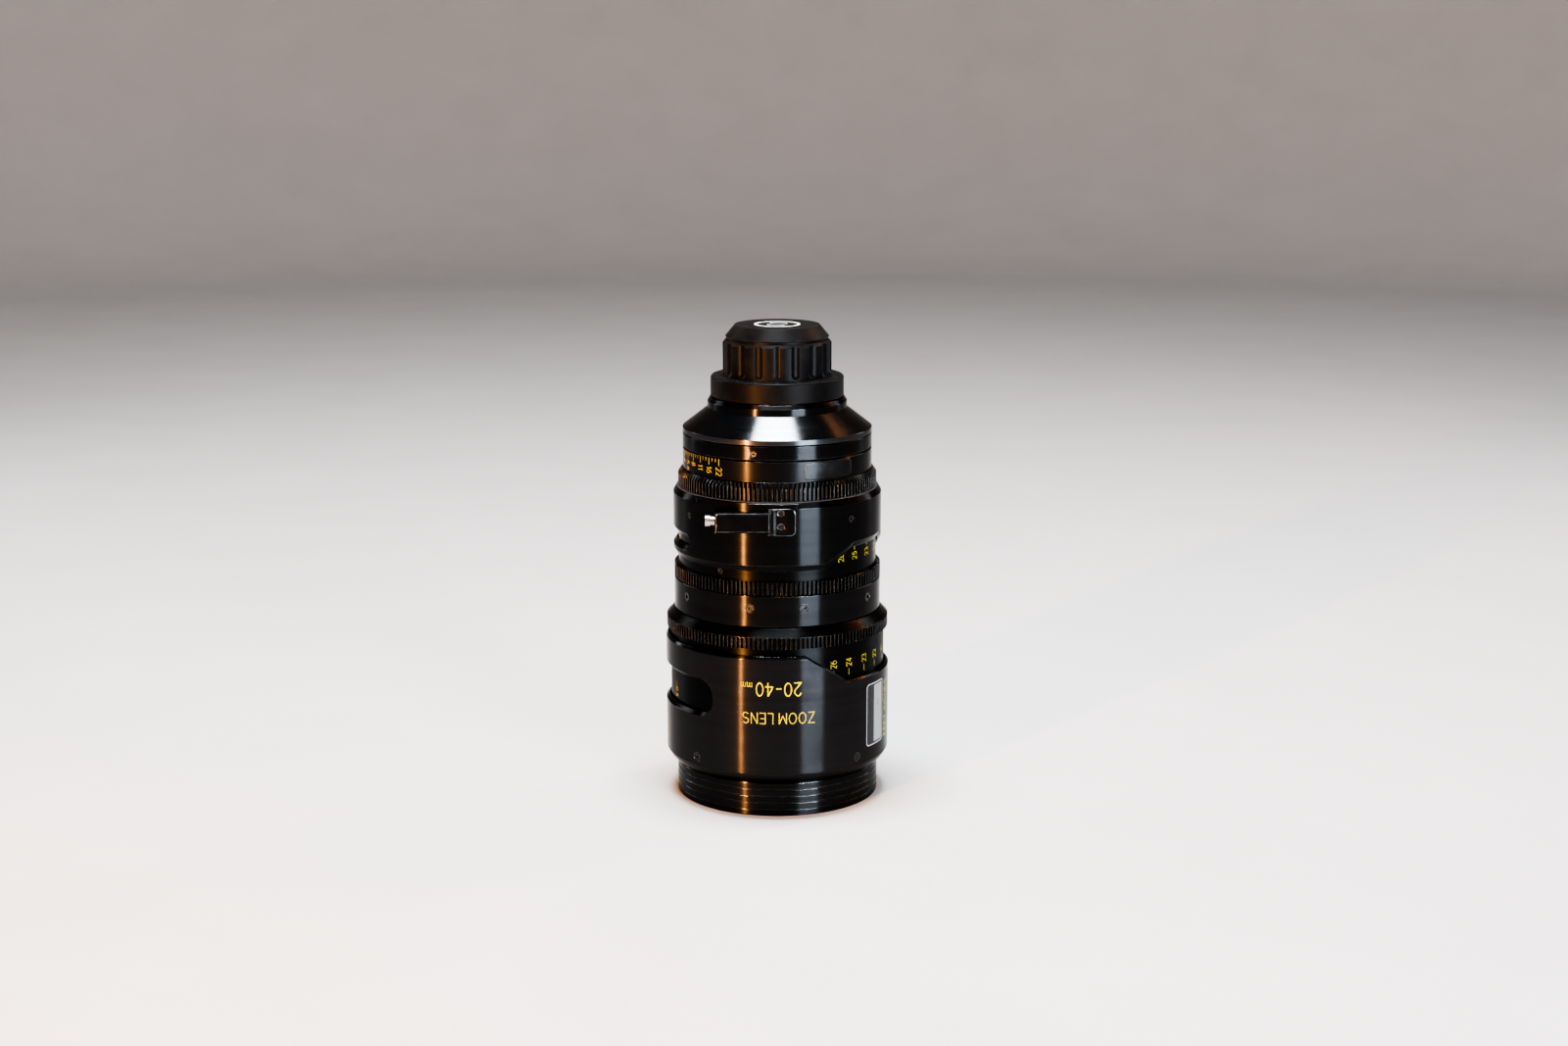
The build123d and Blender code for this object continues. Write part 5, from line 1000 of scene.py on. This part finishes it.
# ---------------------------------------------------------------------------------------------
# Rear cap. Moulded in tough black plastic with a fine satin grain and smoother finger flutes; a
# white ring with two turn arrows is printed on its top.
cap_top = 266.2
flute_foot, flute_top, flute_blend = 0.2384, 0.2562, 0.0008
grip_inside, grip_outside = 0.0270, 0.0280
cap_black, cap_grey = (0.0025, 0.0025, 0.0027), (0.0045, 0.0045, 0.0047)
rubbed_plastic = (0.06, 0.06, 0.06)
cap_plastic, tree, shader = blank_material("cap_plastic")
radius, height = radius_and_height(tree)
in_grip = maths(tree, "MULTIPLY", fade(tree, height, flute_foot, flute_foot + flute_blend),
                fade(tree, height, flute_top + flute_blend, flute_top))
on_grip = fade(tree, radius, grip_inside, grip_outside)
grip_face = maths(tree, "MULTIPLY", in_grip, on_grip)
smudge = place_group(tree, handling, Size=0.016)["Smudge"]
edges = place_group(tree, edge_wear, Width=0.0003, Patch=0.004)
lying = place_group(tree, settled_dust, Amount=thin_dust)["Dust"]
colour = tint(tree, smudge, cap_black, cap_grey)
colour = worn_through(tree, edges["Wear"], 0.5, colour, rubbed_plastic)
tree.links.new(tint(tree, lying, colour, pale_dust), shader.inputs["Base Color"])
smoother = maths(tree, "MULTIPLY", grip_face, 0.06)
rough = maths(tree, "SUBTRACT", between(tree, smudge, 0.38, 0.46), smoother)
rough = maths(tree, "ADD", rough, maths(tree, "MULTIPLY", lying, 0.3))
tree.links.new(rough, shader.inputs["Roughness"])
shader.inputs["IOR"].default_value = 1.50
shader.inputs["Specular IOR Level"].default_value = 0.05
grain = cloud(tree, own_place(tree), 0.00022, detail=2.0, roughness=0.6)
grain = maths(tree, "MULTIPLY", grain, between(tree, grip_face, 1.0, 0.25))
link_bump(tree, shader, grain, 0.000014, edges["Rounded"])
finish_node(cap_plastic, "rear_cap")

print_edge, print_crown = 0.003, 0.006
ring_reach, ring_line = 12.0, 1.4
arrow_reach, arrow_sweep, arrow_line = 5.6, 112, 0.9
barb_length, barb_spread = 2.4, 0.6


def on_cap_top(place, rise):
    """Point of the level top, seen as a drawing with its middle on the lens axis."""
    return place[0] / 1000, place[1] / 1000, (cap_top + rise) / 1000


white_print = fill_paint("white_print", (0.80, 0.80, 0.78))
cap_marks, cap_lines = [arc(0, 0, ring_reach, ring_reach, 0, 360, step=5)], [ring_line]
for start in (20, 200):
    sweep = arc(0, 0, arrow_reach, arrow_reach, start, start + arrow_sweep, step=8)
    tip = sweep[-1]
    heading = radians(start + arrow_sweep + 90)
    head = [(tip[0] - barb_length * cos(heading + side), tip[1] - barb_length * sin(heading + side))
            for side in (barb_spread, -barb_spread)]
    cap_marks += [sweep, [head[0], tip, head[1]]]
    cap_lines += [arrow_line, arrow_line]
stroke_mesh("cap_turn_mark", cap_marks, cap_lines, on_cap_top, print_edge, print_crown, "cap",
            white_print)
